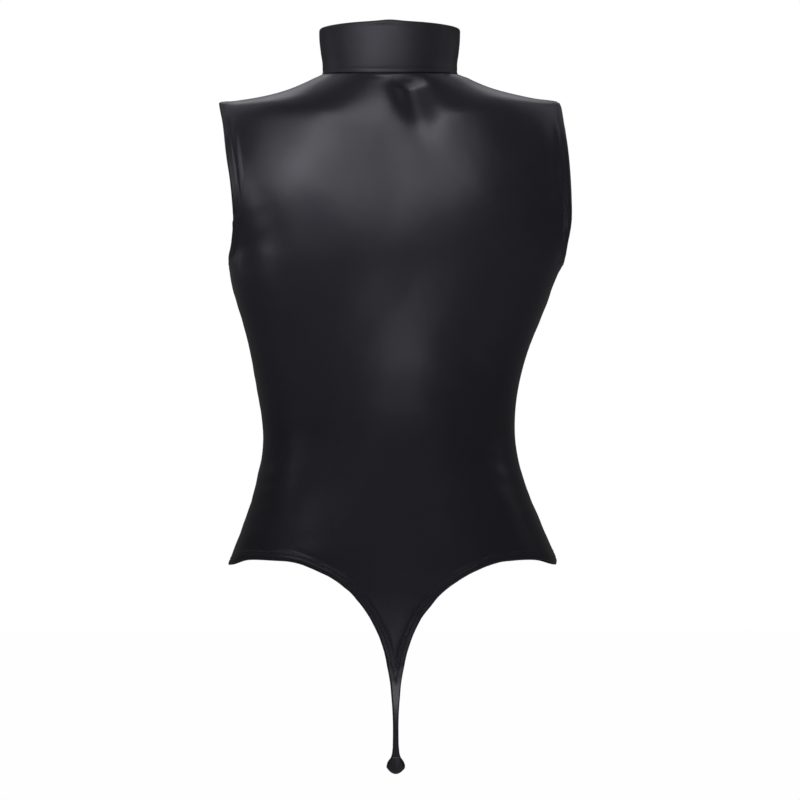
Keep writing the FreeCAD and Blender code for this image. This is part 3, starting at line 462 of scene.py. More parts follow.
FRONT_FOLDS = [
    (150, -70, 104, -92, 6.0, 1.0), (149, -110, 100, -122, 6.0, 1.1), (150, -150, 96, -142, 6.0, 1.1),
    (153, -178, 92, -168, 7.0, 1.3), (-166, -72, -110, -94, 6.0, 1.0), (-170, -112, -108, -124, 6.0, 1.0),
    (-168, -154, -104, -144, 6.0, 1.0), (-165, -180, -98, -170, 7.0, 1.3),
    (126, -310, 66, -318, 8.0, 0.8), (124, -345, 60, -344, 8.0, 0.9), (-122, -314, -64, -322, 8.0, 0.8),
    (-121, -346, -58, -346, 8.0, 0.9), (132, -392, 78, -378, 6.0, 1.0), (-130, -394, -76, -380, 6.0, 1.0),
    (150, -446, 92, -420, 7.0, 1.2), (-152, -446, -94, -420, 7.0, 1.2), (60, -520, 18, -480, 7.0, 0.6),
    (-68, -520, -28, -480, 7.0, 0.6),
]


def relief(p, back):
    x, z = p[..., 0], p[..., 2]
    if back:
        d = 2.8 * bump(x, z, 78, -92, 50, 54, 12) + 2.8 * bump(x, z, -82, -92, 50, 54, -12)
        d += 1.6 * bump(x, z, 46, -34, 40, 20, -14) + 1.6 * bump(x, z, -50, -34, 40, 20, 14)
        # hollow of the cloth under the nape
        cx = -17 + 0.28 * (z + 12)
        side = np.where(x > cx, 15.0, 17.0)
        d -= 7.6 * np.exp(-((x - cx) / side) ** 2) * np.exp(-((z + 17) / np.where(z > -17, 9.0, 40.0)) ** 2)
        d -= 0.5 * np.exp(-((x + 8) / 16) ** 2) * sstep(-60, -120, z) * (1 - sstep(-180, -250, z))
        for f in BACK_FOLDS:
            d += (0.28 if f[1] < -380 else 0.10) * f[5] * fold(x, z, f[0], f[1], f[2], f[3], f[4])
    else:
        d = 4.2 * bump(x, z, 70, -135, 44, 40) + 4.2 * bump(x, z, -72, -135, 44, 40)
        d += 1.2 * bump(x, z, 60, -28, 44, 14, -10) + 1.2 * bump(x, z, -62, -28, 44, 14, 10)
        d -= 1.6 * bump(x, z, 0, -420, 60, 60) * 0.5
        for f in FRONT_FOLDS:
            d += 0.55 * f[5] * fold(x, z, f[0], f[1], f[2], f[3], f[4])
        # flat beside the zip
        d *= sstep(12, 38, np.abs(x))
    # slack of the cloth, everywhere
    d += 0.16 * np.sin(x / 13.0 + 1.7 * np.sin(z / 31.0)) * np.sin(z / 17.0 + 1.3 * np.sin(x / 23.0))
    return d


def hem_profile(d, arc, width=8.0):
    """Height of a turned hem with two rows of stitches, at distance d from the free edge."""
    h = 0.70 * sstep(0.0, 1.2, d) * (1 - sstep(width - 0.6, width + 1.2, d))
    h -= 0.55 * np.exp(-((d - (width - 2.6)) / 0.6) ** 2) + 0.55 * np.exp(-((d - (width - 0.6)) / 0.6) ** 2)
    band = sstep(0.3, 2.0, d) * (1 - sstep(width - 1.5, width + 9.0, d))
    ph = arc / 5.6 + 1.4 * np.sin(arc / 23.0) + 0.8 * np.sin(arc / 7.7)
    h += 0.20 * band * np.sin(ph) * (0.6 + 0.4 * np.sin(arc / 31.0))
    return h


def armhole_gather(d, p):
    """Cloth drawn up beside the armhole hem: a soft ridge along it and one short tuck."""
    x, z = p[..., 0], p[..., 2]
    along = sstep(-40, -62, z) * (1 - sstep(-100, -128, z))
    left = 1.3 * np.exp(-((d - 13.0 - 0.02 * (z + 90)) / 2.2) ** 2) * along
    left += 0.7 * fold(x, z, 153, -150, 141, -139, 2.2)
    right = 1.1 * np.exp(-((d - 10.5) / 2.0) ** 2) * along + 0.5 * np.exp(-((d - 27.0) / 7.0) ** 2) * along
    return np.where(x > 0, left, right)


def seam_profile(d, arc):
    h = -0.55 * np.exp(-(d / 0.8) ** 2) + 0.28 * np.exp(-((d - 2.6) / 1.2) ** 2)
    h += 0.10 * np.exp(-(d / 7.0) ** 2) * np.sin(arc / 3.1 + 1.1 * np.sin(arc / 17.0))
    return h


def ironed(grid, edge, rounds=70):
    """Evens the grid from row to row away from its edges, so no row shows as a crease."""
    g = grid.copy()
    w = (0.5 * sstep(2, 15, edge))[1:-1, :, None]
    for _ in range(rounds):
        g[1:-1] += w * ((g[:-2] + g[2:]) / 2 - g[1:-1])
    return g


# ------------------------------------------------------------------ meshes
def finish_mesh(name, verts, faces, mat, attrs=None, smooth_it=True):
    me = bpy.data.meshes.new(name)
    me.from_pydata([tuple(x) for x in np.asarray(verts) * 0.001], [], [tuple(int(i) for i in f) for f in faces])
    me.validate()
    for key, vals in (attrs or {}).items():
        a = me.attributes.new(key, "FLOAT", "POINT")
        a.data.foreach_set("value", np.asarray(vals, np.float32).ravel())
    me.materials.append(mat)
    me.polygons.foreach_set("use_smooth", [smooth_it] * len(me.polygons))
    me.update()
    o = bpy.data.objects.new(name, me)
    bpy.context.scene.collection.objects.link(o)
    return o


def sheet_mesh(name, grid, normals, t, mat, attrs, close_cols=False, round_out=0.3, keep=None):
    """Closed thin mesh from a grid of outer points; its edge is rounded."""
    R, Cn = grid.shape[:2]
    outer = grid.reshape(-1, 3)
    inner = (grid - normals * t).reshape(-1, 3)
    n = R * Cn
    idx = np.arange(n).reshape(R, Cn)
    cols = Cn if close_cols else Cn - 1
    faces = []
    mask = np.ones((R, Cn), bool) if keep is None else keep
    a, b = idx[:-1, :], idx[1:, :]
    quad = []
    for c in range(cols):
        c2 = (c + 1) % Cn
        ok = mask[:-1, c] & mask[:-1, c2] & mask[1:, c] & mask[1:, c2]
        q = np.stack([idx[:-1, c], idx[1:, c], idx[1:, c2], idx[:-1, c2]], -1)[ok]
        quad.append(q)
    quad = np.concatenate(quad)
    # orientation by the normals
    p0, p1, p3 = outer[quad[:, 0]], outer[quad[:, 1]], outer[quad[:, 3]]
    fn = np.cross(p1 - p0, p3 - p0)
    if np.sum(fn * normals.reshape(-1, 3)[quad[:, 0]]) < 0:
        quad = quad[:, ::-1]
    used = {}
    for f in quad:
        for i in range(4):
            e = (int(f[i]), int(f[(i + 1) % 4]))
            used[e] = True
    border = [e for e in used if (e[1], e[0]) not in used]
    verts = [outer, inner]
    all_attr = {k: [np.asarray(v).ravel(), np.asarray(v).ravel()] for k, v in attrs.items()}
    # one extra ring halfway down the edge
    ring = sorted({i for e in border for i in e})
    pos = {i: 2 * n + k for k, i in enumerate(ring)}
    nxt = {e[0]: e[1] for e in border}
    prv = {e[1]: e[0] for e in border}
    mid = []
    nn = normals.reshape(-1, 3)
    for i in ring:
        tang = outer[nxt.get(i, i)] - outer[prv.get(i, i)]
        outw = np.cross(tang, nn[i])
        L = np.linalg.norm(outw)
        outw = outw / L if L > 1e-9 else outw * 0
        mid.append((outer[i] + inner[i]) / 2 + outw * round_out)
    verts.append(np.array(mid))
    for k in all_attr:
        all_attr[k].append(all_attr[k][0][ring])
    faces = [tuple(q) for q in quad] + [tuple((q[::-1] + n)) for q in quad]
    for i, j in border:
        faces.append((j, i, pos[i], pos[j]))
        faces.append((pos[j], pos[i], i + n, j + n))
    verts = np.concatenate(verts)
    keepv = np.zeros(len(verts), bool)
    for f in faces:
        keepv[list(f)] = True
    remap = np.cumsum(keepv) - 1
    faces = [tuple(remap[list(f)]) for f in faces]
    attrs_out = {k: np.concatenate(v)[keepv] for k, v in all_attr.items()}
    return finish_mesh(name, verts[keepv], faces, mat, attrs_out)


# ------------------------------------------------------------------ materials
class Nodes:
    """Short hand for building a node tree."""

    def __init__(self, name):
        self.mat = bpy.data.materials.new(name)
        self.mat.use_nodes = True
        self.t = self.mat.node_tree
        self.t.nodes.clear()
        self.out = self.t.nodes.new("ShaderNodeOutputMaterial")
        self.bsdf = self.t.nodes.new("ShaderNodeBsdfPrincipled")
        self.t.links.new(self.bsdf.outputs[0], self.out.inputs[0])
        self.coord = self.t.nodes.new("ShaderNodeTexCoord").outputs["Object"]

    def put(self, socket, value):
        if hasattr(value, "is_output"):
            self.t.links.new(value, socket)
        else:
            socket.default_value = value

    def math(self, op, a, b=0.0, c=0.0):
        n = self.t.nodes.new("ShaderNodeMath")
        n.operation = op
        for s, v in zip(n.inputs, (a, b, c)):
            self.put(s, v)
        return n.outputs[0]

    def attr(self, name):
        n = self.t.nodes.new("ShaderNodeAttribute")
        n.attribute_name = name
        return n.outputs["Fac"]

    def noise(self, scale, detail=3.0, rough=0.5, vec=None, stretch=None):
        n = self.t.nodes.new("ShaderNodeTexNoise")
        n.inputs["Scale"].default_value = scale
        n.inputs["Detail"].default_value = detail
        n.inputs["Roughness"].default_value = rough
        v = vec or self.coord
        if stretch:
            m = self.t.nodes.new("ShaderNodeMapping")
            m.inputs["Scale"].default_value = stretch
            self.t.links.new(v, m.inputs[0])
            v = m.outputs[0]
        self.t.links.new(v, n.inputs["Vector"])
        return n.outputs["Fac"]

    def voronoi(self, scale):
        n = self.t.nodes.new("ShaderNodeTexVoronoi")
        n.inputs["Scale"].default_value = scale
        self.t.links.new(self.coord, n.inputs["Vector"])
        return n.outputs["Distance"]

    def ramp(self, fac, stops):
        n = self.t.nodes.new("ShaderNodeValToRGB")
        e = n.color_ramp.elements
        while len(e) < len(stops):
            e.new(0.5)
        for k, (p, c) in enumerate(stops):
            e[k].position = p
            e[k].color = (*c, 1) if len(c) == 3 else c
        self.put(n.inputs[0], fac)
        return n.outputs[0]

    def scaled(self, fac, lo, hi):
        n = self.t.nodes.new("ShaderNodeMapRange")
        n.inputs["To Min"].default_value = lo
        n.inputs["To Max"].default_value = hi
        self.put(n.inputs[0], fac)
        return n.outputs[0]

    def bump(self, height, strength, distance, under=None):
        n = self.t.nodes.new("ShaderNodeBump")
        n.inputs["Strength"].default_value = strength
        n.inputs["Distance"].default_value = distance
        self.put(n.inputs["Height"], height)
        if under is not None:
            self.t.links.new(under, n.inputs["Normal"])
        return n.outputs[0]

    def line(self, d, at, half):
        """1 within half of a distance, with soft sides."""
        a = self.math("ABSOLUTE", self.math("SUBTRACT", d, at))
        n = self.t.nodes.new("ShaderNodeMapRange")
        n.interpolation_type = "SMOOTHSTEP"
        n.inputs["From Min"].default_value = half * 0.6
        n.inputs["From Max"].default_value = half * 1.3
        n.inputs["To Min"].default_value = 1.0
        n.inputs["To Max"].default_value = 0.0
        self.put(n.inputs[0], a)
        return n.outputs[0]

    def stitches(self, d, arc, at, pitch=2.9, half=0.30):
        on = self.line(d, at, half)
        f = self.math("FRACT", self.math("DIVIDE", arc, pitch))
        dash = self.math("MULTIPLY", self.math("GREATER_THAN", f, 0.16), self.math("LESS_THAN", f, 0.94))
        round_ = self.math("SINE", self.math("MULTIPLY", f, math.pi))
        return self.math("MULTIPLY", on, self.math("MULTIPLY", dash, round_))


def wet_look(name, base=(0.0166, 0.0167, 0.0230), rough=0.33, stitch=True, grain=1.0, coat=0.15):
    """Polyurethane-coated stretch knit: near black, satin, with a fine leathery grain."""
    n = Nodes(name)
    big = n.noise(9.0, 3.0)
    col = n.ramp(big, [(0.35, tuple(c * 0.82 for c in base)), (0.68, tuple(c * 1.22 for c in base))])
    height = None
    fine = n.noise(1500.0, 2.0, 0.6)
    cells = n.voronoi(900.0)
    knit = n.noise(420.0, 2.0, 0.5, stretch=(1.0, 1.0, 1.9))
    soft = n.noise(46.0, 3.0, 0.5, stretch=(1.0, 1.0, 0.7))
    nb = n.bump(soft, 0.16 * grain, 0.0022)
    nb = n.bump(knit, 0.10 * grain, 0.00035, nb)
    nb = n.bump(cells, 0.10 * grain, 0.00016, nb)
    nb = n.bump(fine, 0.16 * grain, 0.00010, nb)
    r = n.scaled(n.noise(30.0, 4.0), rough - 0.035, rough + 0.045)
    r = n.math("ADD", r, n.math("MULTIPLY", n.math("SUBTRACT", fine, 0.5), 0.10))
    if stitch:
        d, arc = n.attr("edge"), n.attr("arc")
        s = n.math("MAXIMUM", n.stitches(d, arc, 5.4), n.stitches(d, n.math("ADD", arc, 1.3), 7.4))
        nb = n.bump(s, 0.75, 0.0005, nb)
        mix = n.t.nodes.new("ShaderNodeMix")
        mix.data_type = "RGBA"
        n.put(mix.inputs[0], n.math("MULTIPLY", s, 0.8))
        n.put(mix.inputs[6], col)
        mix.inputs[7].default_value = (0.020, 0.020, 0.022, 1)
        col = mix.outputs[2]
        r = n.math("ADD", r, n.math("MULTIPLY", s, 0.16))
    n.put(n.bsdf.inputs["Base Color"], col)
    n.put(n.bsdf.inputs["Roughness"], r)
    n.put(n.bsdf.inputs["Normal"], nb)
    n.bsdf.inputs["Specular IOR Level"].default_value = 0.5
    n.bsdf.inputs["Coat Weight"].default_value = coat
    n.bsdf.inputs["Coat Roughness"].default_value = 0.30
    return n.mat


def knit(name, base, rough=0.85, scale=900.0, rib=(1.0, 1.0, 0.35)):
    """Matt knitted or woven tape: fine ribs with fuzz."""
    n = Nodes(name)
    w = n.t.nodes.new("ShaderNodeTexWave")
    w.inputs["Scale"].default_value = scale
    w.inputs["Distortion"].default_value = 1.4
    w.inputs["Detail"].default_value = 2.0
    w.bands_direction = "Z"
    n.t.links.new(n.coord, w.inputs["Vector"])
    f = n.noise(scale * 1.7, 3.0, 0.6, stretch=rib)
    col = n.ramp(f, [(0.3, tuple(c * 0.7 for c in base)), (0.7, tuple(c * 1.3 for c in base))])
    nb = n.bump(w.outputs["Fac"], 0.35, 0.0002)
    nb = n.bump(f, 0.35, 0.00015, nb)
    n.put(n.bsdf.inputs["Base Color"], col)
    n.put(n.bsdf.inputs["Roughness"], n.scaled(f, rough - 0.08, rough + 0.06))
    n.put(n.bsdf.inputs["Normal"], nb)
    n.bsdf.inputs["Sheen Weight"].default_value = 0.25
    n.bsdf.inputs["Sheen Roughness"].default_value = 0.5
    return n.mat


def lacquered(name, base, rough, metallic=0.0, wear=(0.10, 0.10, 0.105)):
    """Black lacquered die-cast metal or moulded nylon, a little rubbed."""
    n = Nodes(name)
    f = n.noise(260.0, 4.0, 0.6)
    worn = n.noise(90.0, 5.0, 0.7)
    col = n.ramp(worn, [(0.45, base), (0.80, wear)])
    nb = n.bump(f, 0.10, 0.0001)
    n.put(n.bsdf.inputs["Base Color"], col)
    n.put(n.bsdf.inputs["Roughness"], n.scaled(f, rough - 0.06, rough + 0.10))
    n.put(n.bsdf.inputs["Normal"], nb)
    n.bsdf.inputs["Metallic"].default_value = metallic
    return n.mat


def woven_label(name):
    n = Nodes(name)
    w = n.noise(1500.0, 2.0, 0.5, stretch=(1.0, 1.0, 0.25))
    col = n.ramp(w, [(0.3, (0.40, 0.40, 0.39)), (0.7, (0.56, 0.56, 0.54))])
    n.put(n.bsdf.inputs["Base Color"], col)
    n.put(n.bsdf.inputs["Roughness"], n.scaled(w, 0.45, 0.62))
    n.put(n.bsdf.inputs["Normal"], n.bump(w, 0.3, 0.0001))
    return n.mat


FABRIC = wet_look("coated_fabric")
# lighter copy of the coated fabric for the collar and the hem folds: its lighter base colour is painted light,
# standing in for the even light the collar catches; its higher roughness and weaker coat spread the highlight
PAINTED_LIGHT_FABRIC = wet_look("coated_fabric_collar", base=(0.0200, 0.0198, 0.0262), rough=0.50, stitch=False, coat=0.04)
TAPE = knit("seam_tape", (0.016, 0.016, 0.018))
LINING = knit("lining_knit", (0.014, 0.014, 0.016), 0.9, 1300.0)
ZIPTAPE = knit("zip_tape_weave", (0.012, 0.012, 0.013), 0.8, 1400.0, (0.4, 1.0, 1.0))
COIL = lacquered("zip_nylon", (0.012, 0.012, 0.013), 0.34, 0.0, (0.018, 0.018, 0.019))
METAL = lacquered("zip_lacquer", (0.012, 0.012, 0.013), 0.24, 0.6, (0.05, 0.05, 0.052))
LABEL = woven_label("label_satin")

# ------------------------------------------------------------------ back panel with its strap
MC = 16
T_CLOTH = 0.85


def body_grid(back, wings):
    """Joins wings given as (side, theta, v) with the columns between them."""
    (tl, vl), (tr, vr) = wings
    s = np.linspace(0, 1, MC + 2)[1:-1]
    v = vl[:, -1]
    a, b = tl[:, -1], tr[:, -1]
    ct = a[:, None] + (b - a)[:, None] * s[None]
    cv = np.repeat(v[:, None], MC, 1)
    return np.concatenate([tl, ct, tr[:, ::-1]], 1), np.concatenate([vl, cv, vr[:, ::-1]], 1)


def make_back():
    L, R = wing(1, True), wing(-1, True)
    th, v = body_grid(True, (L, R))
    p = P(th, v)
    nrm = normal(th, v)
    nb = len(p)
    cols = p.shape[1]
    st = stations(np.vstack([[float(P(math.pi / 2, V_END[True])[1]), float(P(math.pi / 2, V_END[True])[2]), 8.93],
                             STRAP_BACK]), 1.6)[1:]
    c = np.linspace(1, -1, MC + 2)
    sp = ribbon(st, c)
    full = np.repeat(p[-1][None], len(sp), 0)
    full[:, M - 1:M + MC + 1] = sp
    keep = np.ones((nb + len(sp), cols), bool)
    keep[nb:, :M - 1] = False
    keep[nb:, M + MC + 1:] = False
    grid = np.concatenate([p, full])
    sn = grid_normals(sp, np.array([0.0, 1.0, -0.35]))
    fn = np.repeat(nrm[-1][None], len(sp), 0)
    fn[:, M - 1:M + MC + 1] = sn
    nrm = np.concatenate([nrm, fn])
    row_v = np.concatenate([v[:, 0], np.full(len(sp), 99.0)])
    arm = (UPPER >= V_TIP) & (UPPER <= V_ARM)
    na = np.nonzero(arm)[0]
    free = [grid[na, 0], grid[na, -1],
            np.concatenate([grid[nb - 1, :M], grid[nb:, M - 1]]),
            np.concatenate([grid[nb - 1, ::-1][:M], grid[nb:, M + MC]])]
    sh, sd = np.nonzero(UPPER <= V_TIP)[0], np.arange(na[-1], nb)
    seams = [grid[sh, 0], grid[sh, -1], grid[sd, 0], grid[sd, -1], grid[0]]
    d, arc = near(grid, free)
    ds, sarc = near(grid, seams)
    grid = ironed(grid, np.where(keep, np.minimum(d, ds), 0))
    h = relief(grid, True) * sstep(0, 9, ds) * (0.25 + 0.75 * sstep(0, 14, d))
    h = np.where(keep, h, 0)
    h[nb:] *= np.linspace(1, 0, len(sp))[:, None] * 0.3
    da, _ = near(grid, free[:2])
    h += hem_profile(d, arc) + seam_profile(ds, sarc) + np.where(keep, armhole_gather(da, grid), 0)
    grid = grid + nrm * h[..., None]
    o = sheet_mesh("back_panel_cloth", grid, nrm, T_CLOTH, FABRIC, {"edge": d, "arc": arc, "seam": ds}, keep=keep)
    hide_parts("back_panel")
    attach(o, "garment")
    return o


def front_edge_x(side, v):
    t = smooth((v - V_ZIP) / 0.35)
    return side * (ZIP_GAP * (1 - t) + 0.12 * t) + x_centre(v, False)


def make_front(side):
    tw, vw = wing(side, False)
    s = np.linspace(0, 1, 16)[1:]
    v = vw[:, -1]
    e = theta_of_x(front_edge_x(side, v), v, False)
    ct = tw[:, -1][:, None] + (e - tw[:, -1])[:, None] * s[None]
    th = np.concatenate([tw, ct], 1)
    vv = np.concatenate([vw, np.repeat(v[:, None], len(s), 1)], 1)
    grid, nrm = P(th, vv), normal(th, vv)
    nb = len(grid)
    arm = (UPPER >= V_TIP) & (UPPER <= V_ARM)
    na = np.nonzero(arm)[0]
    free = [grid[na, 0], grid[nb - 1, :M]]
    sh, sd = np.nonzero(UPPER <= V_TIP)[0], np.arange(na[-1], nb)
    below = np.nonzero(v > V_ZIP + 0.3)[0]
    seams = [grid[sh, 0], grid[sd, 0], grid[0], grid[below, -1]]
    zipline = [grid[np.nonzero(v <= V_ZIP + 0.35)[0], -1]]
    d, arc = near(grid, free)
    ds, sarc = near(grid, seams)
    dz, zarc = near(grid, zipline)
    grid = ironed(grid, np.minimum(np.minimum(d, ds), dz - 4))
    h = relief(grid, False) * sstep(0, 9, ds) * (0.25 + 0.75 * sstep(0, 14, d)) * sstep(6, 24, dz)
    h += hem_profile(d, arc) + seam_profile(ds, sarc)
    # folded edge beside the zip, with one row of stitches
    h += 0.35 * sstep(0, 0.9, dz) * (1 - sstep(5.0, 7.0, dz)) - 0.30 * np.exp(-((dz - 5.4) / 0.5) ** 2)
    grid = grid + nrm * h[..., None]
    edge = np.where(dz < d, np.where(dz < 6.4, dz, 30.0), d)
    o = sheet_mesh("front_panel_%s_cloth" % ("left" if side > 0 else "right"), grid, nrm, T_CLOTH, FABRIC,
                   {"edge": edge, "arc": np.where(dz < d, zarc, arc), "seam": ds})
    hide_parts("front_panel_left" if side > 0 else "front_panel_right")
    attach(o, "garment")
    return o


# ------------------------------------------------------------------ collar
CC = [Pchip(COLLAR[:, 0], COLLAR[:, c]) for c in range(1, 8)]


def C(th, w):
    th, w = np.broadcast_arrays(np.asarray(th, float), np.asarray(w, float))
    zl, zr, zb, zf, xl, xr, yb = [c(w) for c in CC]
    yf = arc_y(zf)
    c, s = np.cos(th), np.sin(th)
    hw = np.where(c > 0, xl, xr)
    up = s >= 0
    k = np.where(up, yb + 3.0, yf - 3.0)
    n = np.where(up, 2.1, 2.3)
    ze = np.where(up, zb, zf)
    rr = ((np.abs(c) / hw) ** n + (np.abs(s) / k) ** n) ** (-1 / n)
    zs = np.where(c > 0, zl, zr)
    return np.stack([rr * c, -3.0 + rr * s, zs * c * c + ze * s * s], -1)


def collar_theta(x, w):
    zl, zr, zb, zf, xl, xr, yb = [c(np.asarray(w, float)) for c in CC]
    hw = np.where(x > 0, xl, xr)
    k = arc_y(zf) - 3.0
    return np.arctan2(-k * (1 - (np.abs(x) / hw) ** 2.3) ** (1 / 2.3), x)


def make_collar():
    w = np.concatenate([[0.006], np.linspace(0, 1, 40)[1:-2], [0.965, 0.99, 1.0]])
    a = collar_theta(ZIP_GAP, w)
    b = collar_theta(-ZIP_GAP, w) + 2 * math.pi
    s = np.linspace(0, 1, 260)
    th = a[:, None] + (b - a)[:, None] * s[None]
    ww = np.repeat(w[:, None], len(s), 1)
    g = C(th, ww)
    nrm = normal(th, ww, C, 0.0, 1.0)
    x, up = g[..., 0], np.sin(th) > 0
    # small lift at the centre back of the rim and soft drag lines round the neck
    g[..., 2] += np.where(up, 1.1 * np.exp(-((x - 0) / 11) ** 2) * sstep(0.75, 1.0, ww), 0)
    h = 0.5 + 0 * ww
    h += 0.16 * np.sin(th * 9 + 2.4 * np.sin(th * 2 + 0.6)) * sstep(0.15, 0.6, ww) * (1 - sstep(0.8, 1.0, ww))
    h += 0.55 * np.exp(-(((ww - 0.94) * 50 - 0.06 * x - 0.6 * np.sin(x / 6.0)) / 1.3) ** 2) * np.exp(-((x + 4) / 26) ** 2) * up
    h -= 0.55 * np.exp(-((ww - 0.90) * 50 / 1.6) ** 2) * np.exp(-((x + 4) / 30) ** 2) * up
    h += 0.5 * np.exp(-((ww * 50) / 2.0) ** 2) - 0.6 * np.exp(-((ww * 50 - 3.6) / 1.1) ** 2) * 0.6
    h -= 2.6 * np.clip(1 - ww / 0.5, 0, 1) ** 2 * np.sin(th) ** 2 * (np.sin(th) > 0)
    h += 1.3 * sstep(0.3, 1.0, ww) * np.sin(th) ** 2 * (np.sin(th) > 0)
    # rolled fold at the rim
    h -= 0.5 * sstep(0.97, 1.0, ww)
    g = g + nrm * h[..., None]
    o = sheet_mesh("collar_cloth", g, nrm, 1.5, PAINTED_LIGHT_FABRIC, {"edge": 30 + 0 * ww, "arc": 0 * ww}, round_out=0.55)
    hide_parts("collar")
    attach(o, "garment")
    return o


# ------------------------------------------------------------------ crotch, hems, tapes and labels
def make_gusset():
    st = stations(GUSSET, 1.1)
    c = np.linspace(1, -1, 19)
    g = ribbon(st, c)
    hint = np.stack([0 * g[..., 0], g[..., 1] - 0, g[..., 2] + 610], -1)
    n = grid_normals(g, hint)
    lines = [g[:, 0], g[:, -1]]
    d, arc = near(g, lines)
    h = 0.30 * sstep(0, 0.8, d) - 0.22 * np.exp(-((d - 2.4) / 0.5) ** 2)
    h += 0.12 * np.sin(arc / 1.7) * (1 - sstep(1, 4, d))
    g2 = g + n * h[..., None]
    o = sheet_mesh("crotch_gusset_cloth", g2, n, T_CLOTH, FABRIC, {"edge": d + 3.0, "arc": arc})
    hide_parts("crotch_gusset")
    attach(o, "garment")
    st2 = stations(GUSSET[2:14], 1.1)
    st2[:, 2] -= 1.0
    g = ribbon(st2, c)
    n = grid_normals(g, np.stack([0 * g[..., 0], g[..., 1] - 0, g[..., 2] + 610], -1))
    q = sheet_mesh("gusset_lining_knit", g - n * 1.12, n, 0.5, LINING, {"edge": 30 + 0 * g[..., 0], "arc": 0 * g[..., 0]}, round_out=0.1)
    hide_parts("gusset_lining")
    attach(q, "garment")
    return o, q


def walk(th, v, direction, dist, steps=4):
    for _ in range(steps):
        a, b = tangents(th, v)
        aa, ab, bb = (a * a).sum(-1), (a * b).sum(-1), (b * b).sum(-1)
        da, db = (a * direction).sum(-1) * dist / steps, (b * direction).sum(-1) * dist / steps
        det = aa * bb - ab * ab
        th = th + (da * bb - db * ab) / det
        v = v + (aa * db - ab * da) / det
    return th, v


def hem_grid(th, v, width, depth, closed, sign):
    p = P(th, v)
    if closed:
        tan = unit(np.roll(p, -1, 0) - np.roll(p, 1, 0))
    else:
        tan = unit(np.gradient(p, axis=0))
    inw = unit(np.cross(normal(th, v), tan)) * sign
    q = np.linspace(0, 1, 9)
    out, nn = [], []
    for f in q:
        t2, v2 = walk(th, v, inw, 0.25 + (width - 0.25) * f)
        n2 = normal(t2, v2)
        out.append(P(t2, v2) - n2 * depth)
        nn.append(n2)
    return np.stack(out, 1), np.stack(nn, 1)


def plain_attrs(g):
    return {"edge": 30 + 0 * g[..., 0], "arc": 0 * g[..., 0]}


def make_armhole_hem(side):
    zs = cos_steps(ROWS[5, 0], ROWS[11, 0], 56)
    v = np.clip(v_of_zl(zs), 5.0, 11.0)
    v[0], v[-1] = 5.0, 11.0
    tb, tf = edge_theta(v, side, True), edge_theta(v, side, False)
    if side < 0:
        tf = tf + 2 * math.pi
    th = np.concatenate([tb, tf[1:-1][::-1]])
    vv = np.concatenate([v, v[1:-1][::-1]])
    g, n = hem_grid(th, vv, 9.0, 1.1, True, -1.0 if side > 0 else 1.0)
    # keep the sign that walks away from the hole
    mid = np.array([g[:, 0, 0].mean(), g[:, 0, 1].mean(), g[:, 0, 2].mean()])
    if np.linalg.norm(g[:, -1] - mid, axis=-1).mean() < np.linalg.norm(g[:, 0] - mid, axis=-1).mean():
        g, n = hem_grid(th, vv, 9.0, 1.1, True, 1.0 if side > 0 else -1.0)
    g, n = np.swapaxes(g, 0, 1), np.swapaxes(n, 0, 1)
    o = sheet_mesh("armhole_hem_%s_fold" % ("left" if side > 0 else "right"), g, n, 0.7, PAINTED_LIGHT_FABRIC, plain_attrs(g),
                   close_cols=True, round_out=0.15)
    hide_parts("armhole_hem_left" if side > 0 else "armhole_hem_right")
    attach(o, "garment")
    return o


def leg_line(side, back):
    start, end = seam_theta(side, back), end_theta(side, back)
    t = 0.5 * FRAC + 0.5 * (1 - (1 - FRAC) ** 2.6)
    th = start + (end - start) * t
    v = bisect(lambda m: inside_leg(th, m, INSET[back]) >= 0, np.full(M, 22.0), np.full(M, V_END[back]))
    v[0], v[-1] = V_SIDE, V_END[back]
    return th, v


def make_leg_hem(side):
    tf, vf = leg_line(side, False)
    tb, vb = leg_line(side, True)
    if side < 0:
        tf = tf + 2 * math.pi
    th = np.concatenate([tf[::-1], tb[1:]])
    v = np.concatenate([vf[::-1], vb[1:]])
    back = np.sin(th) > 0
    half = np.abs(P(th, v)[:, 0] - np.where(back, x_centre(v, True), x_centre(v, False)))
    width = np.minimum(7.5, half - 0.35)
    g, n = hem_grid(th, v, width, 1.1, False, 1.0 if side > 0 else -1.0)
    if g[len(g) // 2, -1, 2] < g[len(g) // 2, 0, 2]:
        g, n = hem_grid(th, v, width, 1.1, False, -1.0 if side > 0 else 1.0)
    st = stations(STRAP_BACK, 1.8)
    q = np.linspace(0, 1, 9)
    ty, tz = np.gradient(st[:, 0]), np.gradient(st[:, 1])
    m = np.hypot(ty, tz)
    iny, inz = tz / m, -ty / m
    wd = np.minimum(7.5, st[:, 2] - 0.35)
    x = STRAP_X + side * (st[:, 2][:, None] - 0.2 - (wd[:, None] - 0.2) * q[None])
    sg = np.stack([x, (st[:, 0] + iny * 1.1)[:, None] + 0 * x, (st[:, 1] + inz * 1.1)[:, None] + 0 * x], -1)
    sn = np.stack([0 * x, -iny[:, None] + 0 * x, -inz[:, None] + 0 * x], -1)
    g, n = np.concatenate([g, sg]), np.concatenate([n, sn])
    o = sheet_mesh("leg_hem_%s_fold" % ("left" if side > 0 else "right"), g, n, 0.6, PAINTED_LIGHT_FABRIC, plain_attrs(g), round_out=0.12)
    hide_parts("leg_hem_left" if side > 0 else "leg_hem_right")
    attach(o, "garment")
    return o


